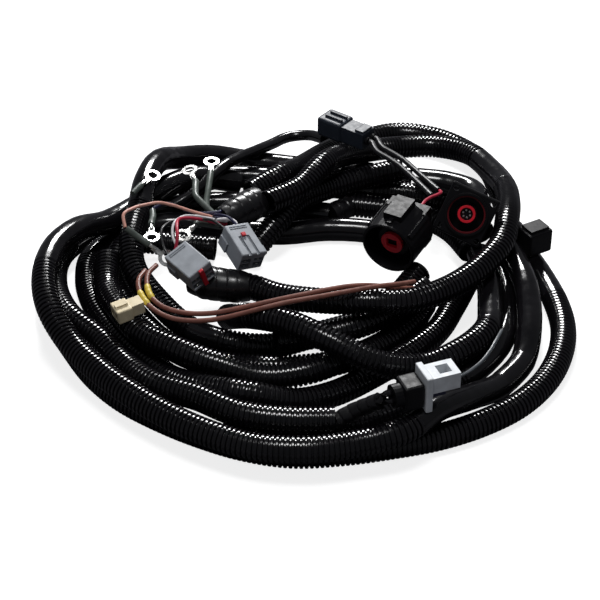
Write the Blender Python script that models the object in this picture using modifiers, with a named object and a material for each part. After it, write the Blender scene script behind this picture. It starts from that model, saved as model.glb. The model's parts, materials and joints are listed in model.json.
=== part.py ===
"""Coiled vehicle wiring harness: corrugated looms in a flat coil, with plugs, sockets and ring terminals.

Metres, +Z up. The origin is on the floor under the middle of the coil.
"""
import math

import bmesh
import bpy
import numpy as np
from mathutils import Matrix, Vector

MM = 0.001

# Looms and wires
LOOM_RADIUS = 9.8 * MM
THIN_LOOM_RADIUS = 4.9 * MM
WRAP_RADIUS = 13.5 * MM
WIRE_RADIUS = 1.9 * MM
LEAD_RADIUS = 2.3 * MM
FEED_RADIUS = 11 * MM
TAIL_RADIUS = 7 * MM
FINE_WIRE_RADIUS = 1.3 * MM
SLEEVE_RADIUS = 2.6 * MM
SLEEVE_STEP = 11 * MM
GAP = 0.3 * MM
LAY_GAP = 0.38 * MM
END_GAP = 0.35 * MM
REAR_LIFT = 3.5 * MM
LOOM_STEP = 35 * MM
WIRE_STEP = 13 * MM
WIRE_STIFFNESS = 1.5

# How a laid loom bends over what lies under it: stiffness over weight, and how firmly it is held up
BEND_STIFFNESS = 7.0e-5
CONTACT_PUSH = 4.0e4
PIN_PUSH = 1.0e6
FINE = 8

# Plug A, the two-way sealed plug on the long leads
PLUG_A_WIDTH = 20 * MM
PLUG_A_HEIGHT = 17 * MM
PLUG_A_HOOD = 24 * MM
PLUG_A_BODY = 23 * MM
PLUG_A_WALL = 1.8 * MM
PLUG_A_CAVITY = 17 * MM
PLUG_A_LEAD_SPREAD = 3.6 * MM

# Socket B, the large round socket, and receptacle C, the flanged round one
SOCKET_RADIUS = 22 * MM
SOCKET_WALL = 2.2 * MM
SOCKET_LENGTH = 33 * MM
SOCKET_DEPTH = 20 * MM
SOCKET_CORE_RADIUS = 13 * MM
SOCKET_RING_RADIUS = 9 * MM
SOCKET_RING_HOLE = 4.4 * MM
SOCKET_RING_THICK = 3 * MM
SOCKET_CORE_LENGTH = 10 * MM
SOCKET_REAR = (8 * MM + SOCKET_LENGTH) * -1

FLANGE_SIDE = 40 * MM
FLANGE_THICK = 4 * MM
FLANGE_HOLE = 2.3 * MM
RECEPTACLE_RADIUS = 17 * MM
RECEPTACLE_WALL = 2 * MM
RECEPTACLE_DEPTH = 17 * MM
RECEPTACLE_LENGTH = 25 * MM
RECEPTACLE_CORE_RADIUS = 9 * MM
RECEPTACLE_RING_RADIUS = 7 * MM
RECEPTACLE_RING_HOLE = 5 * MM
RECEPTACLE_CORE_LENGTH = 8 * MM
RECEPTACLE_REAR = (4 * MM - RECEPTACLE_LENGTH, 0, 0)

# Grey box plugs D and E
BOX_PLUG_LENGTH = 32 * MM
BOX_PLUG_WIDTH = 21 * MM
BOX_PLUG_HEIGHT = 17 * MM
BOX_PLUG_CAVITY = 9 * MM
BOX_PLUG_LOCK = 2.6 * MM
BOX_PLUG_REAR = (-BOX_PLUG_LENGTH, 0, 0)

# Plug F with the pale locking collar, cap G and the small cream plug H
PLUG_F_LENGTH = 15 * MM
PLUG_F_WIDTH = 18 * MM
PLUG_F_HEIGHT = 20 * MM
COLLAR_THICK = 5 * MM
COLLAR_HEIGHT = 29 * MM
COLLAR_LENGTH = 24 * MM
COLLAR_REACH = COLLAR_LENGTH + 2 * MM + GAP
CAP_G_SIZE = (18 * MM, 22 * MM, 20 * MM)
PLUG_H_LENGTH = 22 * MM
PLUG_H_WIDTH = 15 * MM
PLUG_H_HEIGHT = 11 * MM

# Ring terminals
EYE_RADIUS = 6.6 * MM
EYE_HOLE = 3.9 * MM
EYE_THICK = 1.2 * MM
BARREL_RADIUS = 1.7 * MM
BARREL_LENGTH = 6 * MM

# Routes in millimetres on the floor plan, laid in this order, so that each rests on those before it
LOOM_ROUTES = {
    "loom_outer": (
        (24, 92), (-18, 102), (-59, 110), (-101, 105), (-137, 92), (-166, 70), (-186, 45), (-195, 18),
        (-197, -12), (-190, -43), (-176, -75), (-156, -113), (-136, -140), (-111, -162), (-82, -181),
        (-54, -196), (-27, -205), (-1, -209), (30, -206), (68, -198), (104, -187), (137, -169),
        (164, -146), (184, -115), (196, -78), (197, -43), (192, -10), (184, 18), (177, 45), (172, 70)),
    "loom_under": (
        (158, 18), (160, -8), (158, -43), (151, -75), (138, -100), (119, -123), (92, -145), (59, -166),
        (31, -178), (-1, -183), (-28, -179), (-52, -170)),
    "loom_inner": (
        (129, -4), (120, -25), (109, -56), (92, -81), (69, -105), (42, -129), (17, -146), (-8, -157),
        (-29, -160), (-55, -154), (-80, -138), (-101, -118), (-127, -87), (-150, -54), (-163, -21),
        (-169, 10), (-167, 28), (-162, 43), (-148, 56), (-124, 75), (-83, 78), (-42, 66), (-1, 66),
        (32, 72), (60, 66), (88, 55)),
    "loom_branch": (
        (-184, 22), (-189, 4), (-189, -21), (-184, -50),
        (-176, -70), (-161, -86), (-146, -101), (-126, -127), (-105, -150), (-79, -163), (-53, -182),
        (-25, -191), (2, -192), (23, -192)),
    "loom_back": (
        (-102, 133), (-73, 149), (-39, 150), (-1, 142), (37, 133), (75, 127), (108, 117), (133, 96),
        (148, 66)),
    "loom_rear": (
        (42, 107), (74, 100), (102, 88), (123, 66), (135, 39)),
    "loom_short": (
        (95, -32), (85, -54), (71, -74), (36, -101), (3, -111), (-32, -112), (-69, -105), (-91, -93),
        (-112, -69), (-132, -36), (-145, -1), (-148, 25), (-141, 37), (-125, 43), (-97, 47), (-69, 43)),
    "loom_middle": (
        (-150, -1), (-150, -25), (-143, -49), (-132, -73), (-117, -97), (-100, -111), (-81, -120),
        (-59, -129), (-30, -135), (-1, -134), (24, -124), (37, -117)),
    "loom_front": (
        (-52, 131), (-85, 125), (-124, 89), (-149, 55), (-168, 30), (-182, 1), (-191, -23), (-192, -51),
        (-187, -78), (-178, -97), (-163, -118), (-144, -140), (-121, -164), (-97, -184), (-71, -201),
        (-42, -215), (-11, -222), (19, -220), (47, -214), (71, -206), (104, -173), (144, -132),
        (165, -99), (171, -66), (171, -35), (166, -2), (158, 33)),
    "loom_high": (
        (92, -12), (76, -32), (56, -50), (25, -65), (-5, -79), (-29, -88), (-48, -90), (-70, -80),
        (-93, -65), (-109, -46), (-122, -25), (-131, -15), (-135, -14), (-135, -5), (-131, 21),
        (-126, 76), (-116, 116), (-98, 148), (-70, 168), (-31, 173), (-1, 165), (33, 158), (67, 155),
        (93, 149)),
    "loom_low": (
        (-19, -98), (6, -91), (36, -84), (59, -73), (78, -57), (94, -39)),
    "loom_sweep": (
        (-56, -62), (-45, -79), (-34, -93), (-11, -108), (21, -127), (46, -137), (74, -136), (100, -125),
        (119, -113), (133, -99), (140, -74), (143, -44), (143, -15), (139, 12)),
}
REAR_WRAP_ROUTE = ((-62, 30), (-47, 43), (-34, 55))
FRONT_WRAP_ROUTE = ((-84, -40), (-62, -46), (-38, -50))
TOP_ROUTE = (
    (9, 134), (33, 173), (56, 208), (80, 222), (105, 220), (130, 206), (156, 175), (166, 133), (170, 96))
CROSS_ROUTE = (
    (-43, 29), (-31, 37), (-15, 60), (1, 85), (24, 105), (53, 120), (83, 130))
TRUNK_ROUTE = (
    (-16, -66), (14, -72), (43, -80), (72, -81), (103, -63), (129, -40), (144, -20), (155, -1),
    (164, 46), (166, 91), (162, 120), (153, 145), (140, 170), (120, 184), (94, 184), (72, 175),
    (41, 144))
THIN_ROUTE = (
    (-105, 84), (-91, 93), (-75, 110), (-43, 157), (-27, 180), (-14, 195), (-1, 201), (10, 193),
    (20, 180))


def remove_everything():
    for item in list(bpy.data.objects):
        bpy.data.objects.remove(item)


def new_collection(name):
    collection = bpy.data.collections.new(name)
    bpy.context.scene.collection.children.link(collection)
    return collection


def new_material(name, colour, roughness, metallic=0.0):
    made = bpy.data.materials.new(name)
    made.use_nodes = True
    shader = made.node_tree.nodes["Principled BSDF"]
    shader.inputs["Base Color"].default_value = (*colour, 1.0)
    shader.inputs["Roughness"].default_value = roughness
    shader.inputs["Metallic"].default_value = metallic
    return made


remove_everything()
HARNESS = new_collection("wiring_harness")
CUTTERS = new_collection("cutters")
BLACK_LOOM = new_material("black_loom", (0.012, 0.012, 0.014), 0.28)
BLACK_TAPE = new_material("black_tape", (0.018, 0.018, 0.02), 0.4)
BLACK_PLASTIC = new_material("black_plastic", (0.02, 0.02, 0.022), 0.35)
SLATE_PLASTIC = new_material("slate_plastic", (0.05, 0.065, 0.09), 0.35)
GREY_PLASTIC = new_material("grey_plastic", (0.33, 0.35, 0.37), 0.45)
PALE_PLASTIC = new_material("pale_plastic", (0.62, 0.64, 0.66), 0.4)
CREAM_PLASTIC = new_material("cream_plastic", (0.78, 0.7, 0.48), 0.45)
RED_SEAL = new_material("red_seal", (0.6, 0.03, 0.05), 0.45)
BROWN_WIRE = new_material("brown_wire", (0.25, 0.09, 0.06), 0.4)
PINK_WIRE = new_material("pink_wire", (0.62, 0.33, 0.27), 0.4)
RED_WIRE = new_material("red_wire", (0.45, 0.03, 0.06), 0.4)
WHITE_WIRE = new_material("white_wire", (0.75, 0.72, 0.74), 0.4)
NAVY_WIRE = new_material("navy_wire", (0.03, 0.03, 0.07), 0.4)
SLEEVE = new_material("shrink_sleeve", (0.1, 0.12, 0.11), 0.5)
TINNED = new_material("tinned_copper", (0.72, 0.73, 0.72), 0.25, 1.0)


def smooth_points(route, spacing):
    """Points a spacing apart along a smooth curve through the route's own points."""
    points = np.asarray(route, float)
    padded = np.vstack([2 * points[0] - points[1], points, 2 * points[-1] - points[-2]])
    part = np.linspace(0, 1, 24, endpoint=False)[:, None]
    pieces = []
    for index in range(len(points) - 1):
        a, b, c, d = padded[index:index + 4]
        cubic = (3 * b - a - 3 * c + d) * part ** 3
        square = (2 * a - 5 * b + 4 * c - d) * part ** 2
        pieces.append(0.5 * (2 * b + (c - a) * part + square + cubic))
    pieces.append(points[-1:])
    curve = np.vstack(pieces)
    steps = np.linalg.norm(np.diff(curve, axis=0), axis=1)
    run = np.concatenate([[0], np.cumsum(steps)])
    stops = np.linspace(0, run[-1], max(2, round(run[-1] / spacing) + 1))
    return np.stack([np.interp(stops, run, curve[:, axis]) for axis in range(points.shape[1])], 1)


class Pile:
    """What has been laid so far, as close-set points with the radius at each."""

    def __init__(self):
        self.points = np.zeros((0, 3))
        self.radii = np.zeros(0)

    def add(self, points, radius):
        self.points = np.vstack([self.points, points])
        self.radii = np.concatenate([self.radii, np.full(len(points), radius)])

    def support(self, places, radius):
        """The least height at which a round thing's axis may pass over each place."""
        low = np.full(len(places), radius)
        if len(self.points):
            apart = ((places[:, None, :] - self.points[None, :, :2]) ** 2).sum(2)
            reach = (radius + self.radii[None, :] + LAY_GAP) ** 2
            rise = np.sqrt(np.clip(reach - apart, 0, None))
            over = np.where(apart < reach, self.points[None, :, 2] + rise, 0)
            low = np.maximum(low, over.max(1))
        return low


PILE = Pile()


def between(count):
    """Weights that read FINE points per step off a line's corners."""
    rows = (count - 1) * FINE + 1
    weights = np.zeros((rows, count))
    for row in range(rows):
        corner = min(row // FINE, count - 2)
        share = row / FINE - corner
        weights[row, corner] = 1 - share
        weights[row, corner + 1] = share
    return weights


def lay(route, radius, spacing, stiffness=1.0, start=None, end=None):
    """Lays a springy tube on the floor and the pile: its corners with the heights at which it comes to rest.

    The plan stays as drawn. The heights make the bending energy and the weight least, while every point
    between the corners stays above what lies there. start and end hold that end level at a given height.
    """
    plan = smooth_points(np.asarray(route, float) * MM, spacing)
    count = len(plan)
    weights = between(count)
    fine = weights @ plan
    floor = PILE.support(fine, radius)
    if start is not None:
        floor[:FINE] = radius
    if end is not None:
        floor[-FINE:] = radius
    step = np.linalg.norm(plan[1] - plan[0])
    bends = np.zeros((count - 2, count))
    for index in range(count - 2):
        bends[index, index:index + 3] = (1, -2, 1)
    spring = stiffness * BEND_STIFFNESS * bends.T @ bends / step ** 3
    held = np.zeros(count)
    held_at = np.zeros(count)
    if start is not None:
        held[:2] = PIN_PUSH
        held_at[:2] = start
    if end is not None:
        held[-2:] = PIN_PUSH
        held_at[-2:] = end
    heights = np.full(count, floor.max())
    for _ in range(200):
        touching = weights @ heights < floor + 1e-9
        grid = weights[touching]
        matrix = spring + CONTACT_PUSH * grid.T @ grid + np.diag(held + 1e-6)
        pull = CONTACT_PUSH * grid.T @ floor[touching] + held * held_at - step
        change = np.linalg.solve(matrix, pull) - heights

        def energy(levels):
            short = np.clip(floor - weights @ levels, 0, None)
            bent = 0.5 * levels @ spring @ levels + step * levels.sum()
            return bent + 0.5 * CONTACT_PUSH * (short ** 2).sum() + 0.5 * (held * (levels - held_at) ** 2).sum()
        share = 1.0
        while share > 0.01 and energy(heights + share * change) > energy(heights):
            share *= 0.5
        heights = heights + share * change
        if np.abs(share * change).max() < 1e-8:
            break
    corners = np.column_stack([plan, heights])
    PILE.add(weights @ corners, radius)
    return corners


def lay_rigid(route, radius, spacing):
    """Rests a stiff, level piece on the pile."""
    plan = smooth_points(np.asarray(route, float) * MM, spacing)
    weights = between(len(plan))
    height = PILE.support(weights @ plan, radius).max()
    corners = np.column_stack([plan, np.full(len(plan), height)])
    PILE.add(weights @ corners, radius)
    return corners


def tube(name, corners, radius, look, resolution=3, swell=None):
    """A round tube with closed ends along a line; swell scales its radius from corner to corner."""
    curve = bpy.data.curves.new(name, "CURVE")
    curve.dimensions = "3D"
    curve.bevel_depth = radius
    curve.bevel_resolution = resolution
    curve.use_fill_caps = True
    spline = curve.splines.new("POLY")
    spline.points.add(len(corners) - 1)
    for index, corner in enumerate(corners):
        spline.points[index].co = (*corner, 1.0)
        if swell is not None:
            spline.points[index].radius = float(np.interp(index / (len(corners) - 1), *swell))
    curve.materials.append(look)
    made = bpy.data.objects.new(name, curve)
    HARNESS.objects.link(made)
    return made


def frame_at(name, place, forward, up=(0, 0, 1)):
    """An empty whose X axis points forward and whose Z axis leans towards up."""
    x = Vector(forward).normalized()
    y = Vector(up).cross(x).normalized()
    z = x.cross(y)
    empty = bpy.data.objects.new(name, None)
    HARNESS.objects.link(empty)
    empty.matrix_world = Matrix.Translation(place) @ Matrix((x, y, z)).transposed().to_4x4()
    return empty


def add_piece(name, shape, frame, look=None):
    """Turns a bmesh into an object under a frame: a visible piece with a look, or a cutter without one."""
    mesh = bpy.data.meshes.new(name)
    bmesh.ops.recalc_face_normals(shape, faces=shape.faces)
    shape.to_mesh(mesh)
    shape.free()
    made = bpy.data.objects.new(name, mesh)
    made.parent = frame
    if look is None:
        CUTTERS.objects.link(made)
        made.hide_render = True
        made.display_type = "WIRE"
    else:
        HARNESS.objects.link(made)
        mesh.materials.append(look)
    return made


def block(name, frame, size, centre, look=None, bevel=0.0):
    shape = bmesh.new()
    bmesh.ops.create_cube(shape, size=1.0, matrix=Matrix.LocRotScale(Vector(centre), None, Vector(size)))
    made = add_piece(name, shape, frame, look)
    if bevel:
        rounding = made.modifiers.new("rounded_edges", "BEVEL")
        rounding.width = bevel
        rounding.segments = 2
        rounding.limit_method = "ANGLE"
    return made


def drum(name, frame, radius, start, length, look=None, sides=28, end_radius=None, aside=(0, 0)):
    """A round bar along X from start, which may taper to end_radius."""
    shape = bmesh.new()
    turn = Matrix.Rotation(math.pi / 2, 4, "Y")
    move = Matrix.Translation((start + length / 2, *aside))
    far = radius if end_radius is None else end_radius
    bmesh.ops.create_cone(shape, cap_ends=True, segments=sides, radius1=radius, radius2=far, depth=length,
                          matrix=move @ turn)
    made = add_piece(name, shape, frame, look)
    made.data.shade_smooth()
    made.data.set_sharp_from_angle(angle=math.radians(35))
    return made


def cut(target, cutter):
    modifier = target.modifiers.new("cut", "BOOLEAN")
    modifier.object = cutter
    modifier.operation = "DIFFERENCE"


def fuse(target, piece):
    modifier = target.modifiers.new("fuse", "BOOLEAN")
    modifier.object = piece
    modifier.operation = "UNION"


def make_plug_a(frame):
    """Sealed two-way plug: an open hood with a latch channel, a narrower body and two sealed lead entries."""
    hood = block("plug_a_housing", frame, (PLUG_A_HOOD, PLUG_A_WIDTH, PLUG_A_HEIGHT),
                 (-PLUG_A_HOOD / 2, 0, 0), SLATE_PLASTIC, 2 * MM)
    body_width = PLUG_A_WIDTH - 4 * MM
    body_height = PLUG_A_HEIGHT - 3 * MM
    overlap = 1 * MM
    body_at = -PLUG_A_HOOD - PLUG_A_BODY / 2 + overlap
    fuse(hood, block("plug_a_body", frame, (PLUG_A_BODY, body_width, body_height), (body_at, 0, -0.4 * MM)))
    cavity = (PLUG_A_CAVITY * 2, PLUG_A_WIDTH - 2 * PLUG_A_WALL, PLUG_A_HEIGHT - 2 * PLUG_A_WALL)
    cut(hood, block("plug_a_cavity", frame, cavity, (0, 0, 0)))
    channel_at = (-PLUG_A_HOOD * 0.55, 0, PLUG_A_HEIGHT / 2)
    fuse(hood, block("plug_a_channel", frame, (PLUG_A_HOOD * 0.7, 9 * MM, 4 * MM), channel_at))
    cut(hood,
        block("plug_a_groove", frame, (PLUG_A_HOOD, 5 * MM, 3 * MM),
              (-PLUG_A_HOOD * 0.5, 0, PLUG_A_HEIGHT / 2 + 1.6 * MM)))
    tail = -PLUG_A_HOOD - PLUG_A_BODY + overlap
    fuse(hood,
         block("plug_a_tail", frame, (8 * MM, body_width - 3 * MM, 3 * MM), (tail + 5 * MM, 0, body_height / 2)))
    core = (PLUG_A_CAVITY - 8 * MM, 9 * MM, 6 * MM)
    fuse(hood, block("plug_a_core", frame, core, (-PLUG_A_CAVITY + core[0] / 2 - 1 * MM, 0, 0)))
    seal = drum("plug_a_seal", frame, 3.4 * MM, tail - 3 * MM - GAP, 3 * MM, BLACK_PLASTIC, 16,
                aside=(PLUG_A_LEAD_SPREAD, 0))
    fuse(seal,
         drum("plug_a_seal_twin", frame, 3.4 * MM, tail - 3 * MM - GAP, 3 * MM, None, 16,
              aside=(-PLUG_A_LEAD_SPREAD, 0)))
    bridge_at = (tail - 1.5 * MM - GAP, 0, 0)
    fuse(seal, block("plug_a_seal_web", frame, (2.6 * MM, 2 * PLUG_A_LEAD_SPREAD, 3 * MM), bridge_at))
    return tail - 3 * MM - GAP


def make_socket(frame):
    """Large round socket: ribbed shell on a square rear block, a core and a red seal ring."""
    shell = drum("socket_housing", frame, SOCKET_RADIUS, -SOCKET_LENGTH, SOCKET_LENGTH, BLACK_PLASTIC, 32)
    cut(shell,
        drum("socket_bowl", frame, SOCKET_RADIUS - SOCKET_WALL, -SOCKET_DEPTH, SOCKET_DEPTH * 2, None, 32))
    rear = 11 * MM
    side = SOCKET_RADIUS * 1.5
    fuse(shell, block("socket_rear", frame, (rear, side, side), (-SOCKET_LENGTH - rear / 2 + 3 * MM, 0, 0)))
    for index, angle in enumerate((-50, 0, 50)):
        turned = math.radians(angle)
        reach = SOCKET_RADIUS - 0.4 * MM
        rib = block(f"socket_rib_{index}", frame, (SOCKET_LENGTH - 4 * MM, 3.4 * MM, 4 * MM), (0, 0, 0))
        rib.location = (-SOCKET_LENGTH / 2 - 1 * MM, reach * math.sin(turned), reach * math.cos(turned))
        rib.rotation_euler = (-turned, 0, 0)
        fuse(shell, rib)
    lock = (24 * MM, 15 * MM, 7 * MM)
    fuse(shell, block("socket_lock", frame, lock, (-SOCKET_LENGTH * 0.62, 0, SOCKET_RADIUS + 1.2 * MM)))
    floor = -SOCKET_DEPTH + GAP
    core_length = SOCKET_CORE_LENGTH
    drum("socket_core", frame, SOCKET_CORE_RADIUS, floor, core_length, BLACK_PLASTIC, 28)
    ring = drum("socket_ring", frame, SOCKET_RING_RADIUS, floor + core_length + GAP, SOCKET_RING_THICK,
                RED_SEAL, 28)
    hole = (SOCKET_RING_THICK * 4, 2 * SOCKET_RING_HOLE, 1.7 * SOCKET_RING_HOLE)
    cut(ring, block("socket_ring_hole", frame, hole, (floor + core_length, 0, 0)))


def make_receptacle(frame):
    """Round receptacle: a square flange with fixing holes, a deep cup, a hexagonal core and a red ring."""
    flange = block("receptacle_housing", frame, (FLANGE_THICK, FLANGE_SIDE, FLANGE_SIDE), (0, 0, 0),
                   BLACK_PLASTIC, 1.2 * MM)
    cup_from = -RECEPTACLE_LENGTH + 4 * MM
    fuse(flange, drum("receptacle_cup", frame, RECEPTACLE_RADIUS, cup_from, RECEPTACLE_LENGTH, None, 32))
    bowl_radius = RECEPTACLE_RADIUS - RECEPTACLE_WALL
    mouth = cup_from + RECEPTACLE_LENGTH
    cut(flange,
        drum("receptacle_bowl", frame, bowl_radius, mouth - RECEPTACLE_DEPTH, RECEPTACLE_DEPTH * 2, None, 32))
    corner = FLANGE_SIDE / 2 - 4.2 * MM
    for index, (across, high) in enumerate(((1, 1), (1, -1), (-1, -1), (-1, 1))):
        spot = (across * corner, high * corner)
        cut(flange,
            drum(f"receptacle_hole_{index}", frame, FLANGE_HOLE, -10 * MM, 20 * MM, None, 12, aside=spot))
    floor = mouth - RECEPTACLE_DEPTH + GAP
    core_length = RECEPTACLE_CORE_LENGTH
    drum("receptacle_core", frame, RECEPTACLE_CORE_RADIUS, floor, core_length, BLACK_PLASTIC, 6)
    ring = drum("receptacle_ring", frame, RECEPTACLE_RING_RADIUS, floor + core_length + GAP, 2.4 * MM,
                RED_SEAL, 28)
    cut(ring, drum("receptacle_ring_hole", frame, RECEPTACLE_RING_HOLE, floor, RECEPTACLE_DEPTH, None, 24))


def make_box_plug(name, frame, lock_on_top):
    """Grey box plug: stepped body, two sockets in the face, a red lock between them or on a grooved top."""
    body = block(f"{name}_housing", frame, (BOX_PLUG_LENGTH, BOX_PLUG_WIDTH, BOX_PLUG_HEIGHT),
                 (-BOX_PLUG_LENGTH / 2, 0, 0), GREY_PLASTIC, 1 * MM)
    step = (BOX_PLUG_LENGTH * 0.34, BOX_PLUG_WIDTH + 3 * MM, BOX_PLUG_HEIGHT * 0.5)
    fuse(body, block(f"{name}_skirt", frame, step, (-BOX_PLUG_LENGTH * 0.78, 0, -BOX_PLUG_HEIGHT * 0.2)))
    slot = (BOX_PLUG_CAVITY * 2, BOX_PLUG_WIDTH * 0.39, BOX_PLUG_HEIGHT * 0.55)
    for index, side in enumerate((-1, 1)):
        spot = (0, side * BOX_PLUG_WIDTH * 0.265, -BOX_PLUG_HEIGHT * 0.1)
        cut(body, block(f"{name}_socket_{index}", frame, slot, spot))
    if not lock_on_top:
        bar = (BOX_PLUG_LOCK, BOX_PLUG_WIDTH * 0.17, BOX_PLUG_HEIGHT - 1 * MM)
        block(f"{name}_lock", frame, bar, (BOX_PLUG_LOCK / 2 + GAP, 0, 1 * MM), RED_SEAL, 0.4 * MM)
        return
    top = BOX_PLUG_HEIGHT / 2
    groove = (BOX_PLUG_LENGTH * 0.6, 2.6 * MM, 3 * MM)
    for index, side in enumerate((-1, 1)):
        spot = (-BOX_PLUG_LENGTH * 0.3, side * 3.4 * MM, top)
        cut(body, block(f"{name}_groove_{index}", frame, groove, spot))
    button = (BOX_PLUG_LOCK * 1.4, 3.6 * MM, 1.6 * MM)
    button_at = (-BOX_PLUG_LENGTH * 0.62, 0, top + button[2] / 2 + GAP)
    block(f"{name}_lock", frame, button, button_at, RED_SEAL, 0.4 * MM)


def make_plug_f(frame):
    """Black plug with a pale locking collar: a face plate and a windowed frame ahead of it."""
    body = block("plug_f_housing", frame, (PLUG_F_LENGTH, PLUG_F_WIDTH, PLUG_F_HEIGHT),
                 (-PLUG_F_LENGTH / 2, 0, 0), BLACK_PLASTIC, 2 * MM)
    fuse(body, drum("plug_f_neck", frame, 8.4 * MM, -PLUG_F_LENGTH - 6 * MM, 9 * MM, None, 20))
    plate_from = GAP
    plate = (COLLAR_THICK, PLUG_F_WIDTH + 3 * MM, COLLAR_HEIGHT)
    collar = block("plug_f_collar", frame, plate, (plate_from + COLLAR_THICK / 2, 0, 1 * MM),
                   PALE_PLASTIC, 0.8 * MM)
    shelf = (COLLAR_LENGTH, PLUG_F_WIDTH - 1 * MM, 13 * MM)
    fuse(collar, block("plug_f_shelf", frame, shelf, (plate_from + 2 * MM + COLLAR_LENGTH / 2, 0, 7 * MM)))
    window = (9 * MM, PLUG_F_WIDTH - 9 * MM, 30 * MM)
    cut(collar, block("plug_f_window", frame, window, (COLLAR_LENGTH * 0.7, 0, 7 * MM)))
    tongue = (COLLAR_LENGTH * 0.5, PLUG_F_WIDTH * 0.5, 6 * MM)
    block("plug_f_tongue", frame, tongue,
          (plate_from + COLLAR_THICK + GAP + COLLAR_LENGTH * 0.25, 0, -3.1 * MM), NAVY_WIRE, 0.6 * MM)
    return -PLUG_F_LENGTH - 6 * MM


def make_cap_g(frame):
    """Dark cap at the side: a rounded box with a raised lid."""
    length, width, height = CAP_G_SIZE
    cap = block("cap_g_housing", frame, CAP_G_SIZE, (0, 0, 0), SLATE_PLASTIC, 1.6 * MM)
    fuse(cap,
         block("cap_g_lid", frame, (length - 5 * MM, width - 5 * MM, 3 * MM), (0, 0, height / 2 + 0.8 * MM)))


def make_plug_h(frame):
    """Small cream plug: a wide head with two sockets and a narrower wire end."""
    head = PLUG_H_LENGTH * 0.55
    body = block("plug_h_housing", frame, (head, PLUG_H_WIDTH, PLUG_H_HEIGHT), (-head / 2, 0, 0),
                 CREAM_PLASTIC, 1 * MM)
    rest = PLUG_H_LENGTH - head + 1 * MM
    rear = (rest, PLUG_H_WIDTH * 0.7, PLUG_H_HEIGHT * 0.85)
    fuse(body, block("plug_h_rear", frame, rear, (-PLUG_H_LENGTH + rest / 2, 0, 0)))
    for index, side in enumerate((-1, 1)):
        spot = (0, side * PLUG_H_WIDTH * 0.22, 0)
        cut(body, block(f"plug_h_socket_{index}", frame, (14 * MM, 4.4 * MM, 5.4 * MM), spot))
    fuse(body, block("plug_h_latch", frame, (head * 0.8, 4 * MM, 3 * MM), (-head / 2, 0, PLUG_H_HEIGHT / 2)))


def make_ring(name, place, along, sleeve, tail):
    """Ring terminal: a flat eye, a neck and a crimp barrel, with the shrink sleeve that hides the crimp."""
    frame = frame_at(f"{name}_frame", place, along, (0, -0.5, 0.85))
    eye = drum(f"{name}_terminal", frame, EYE_RADIUS, 0, EYE_THICK, TINNED, 16)
    eye.rotation_euler = (0, -math.pi / 2, 0)
    hole = drum(f"{name}_hole", frame, EYE_HOLE, -2 * MM, 6 * MM, None, 12)
    hole.rotation_euler = (0, -math.pi / 2, 0)
    cut(eye, hole)
    neck = (8 * MM, 4 * MM, EYE_THICK)
    fuse(eye, block(f"{name}_neck", frame, neck, (-EYE_RADIUS - 3 * MM, 0, EYE_THICK / 2)))
    high = BARREL_RADIUS * 0.6
    barrel_end = -EYE_RADIUS - 4 * MM - BARREL_LENGTH
    fuse(eye,
         drum(f"{name}_barrel", frame, BARREL_RADIUS, barrel_end, BARREL_LENGTH, None, 10, aside=(0, high)))
    head = leaving(frame, (barrel_end, 0, high), -1)
    tube(f"{name}_sleeve", line_through(head, sleeve, tail, SLEEVE_STEP), SLEEVE_RADIUS, SLEEVE, 2)


def at(x, y, z):
    return Vector((x * MM, y * MM, z * MM))


def square_end(corners, way, last):
    """Adds a short straight step at one end, so that the end face stands square to what it meets."""
    step = np.append(way, 0) * 3 * MM
    if last:
        return np.insert(corners, -1, corners[-1] + step, axis=0)
    return np.insert(corners, 1, corners[0] + step, axis=0)


def lay_looms():
    """Lays the looms of the coil from the floor up, with the two taped wraps that hold their ends."""
    corners = {}
    for name, route in LOOM_ROUTES.items():
        corners[name] = lay(route, LOOM_RADIUS, LOOM_STEP)
    front = corners["wrap_front"] = lay_rigid(FRONT_WRAP_ROUTE, WRAP_RADIUS, 9 * MM)
    corners["loom_cross"] = lay(CROSS_ROUTE, LOOM_RADIUS, LOOM_STEP)
    rear = corners["wrap_rear"] = lay_rigid(REAR_WRAP_ROUTE, WRAP_RADIUS, 9 * MM)
    rear_height = rear[0][2] + REAR_LIFT
    rear_way = (rear[-1] - rear[-2])[:2]
    rear_way /= np.linalg.norm(rear_way)
    beside = np.array([-rear_way[1], rear_way[0]]) * (LOOM_RADIUS + GAP) / MM
    mouth = rear[-1][:2] / MM + rear_way * END_GAP / MM
    top_start = mouth + beside
    top_route = (tuple(top_start), tuple(top_start + rear_way * 24), *TOP_ROUTE)
    top = lay(top_route, LOOM_RADIUS, LOOM_STEP, start=rear_height)
    corners["loom_top"] = square_end(top, rear_way, False)
    front_way = (front[-1] - front[-2])[:2]
    front_way /= np.linalg.norm(front_way)
    trunk_start = front[-1][:2] / MM + front_way * END_GAP / MM
    trunk_end = mouth - beside
    trunk_route = (tuple(trunk_start), tuple(trunk_start + front_way * 26), *TRUNK_ROUTE,
                   tuple(trunk_end + rear_way * 42), tuple(trunk_end))
    trunk = lay(trunk_route, LOOM_RADIUS, LOOM_STEP, start=front[0][2], end=rear_height)
    corners["loom_trunk"] = square_end(square_end(trunk, front_way, False), rear_way, True)
    corners["lead_thin"] = lay(THIN_ROUTE, THIN_LOOM_RADIUS, LOOM_STEP * 0.6)
    return corners


def make_looms(corners):
    front_swell = ((0, 0.25, 0.8, 1), (0.75, 1, 0.95, 0.8))
    rear_swell = ((0, 0.3, 0.7, 1), (0.7, 0.9, 1, 0.95))
    for name, line in corners.items():
        if name == "wrap_front":
            tube(name, line, WRAP_RADIUS, BLACK_TAPE, 4, front_swell)
        elif name == "wrap_rear":
            tube(name, line, WRAP_RADIUS, BLACK_TAPE, 4, rear_swell)
        elif name == "lead_thin":
            tube(name, line, THIN_LOOM_RADIUS, BLACK_LOOM, 2)
        else:
            tube(name, line, LOOM_RADIUS, BLACK_LOOM)


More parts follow.
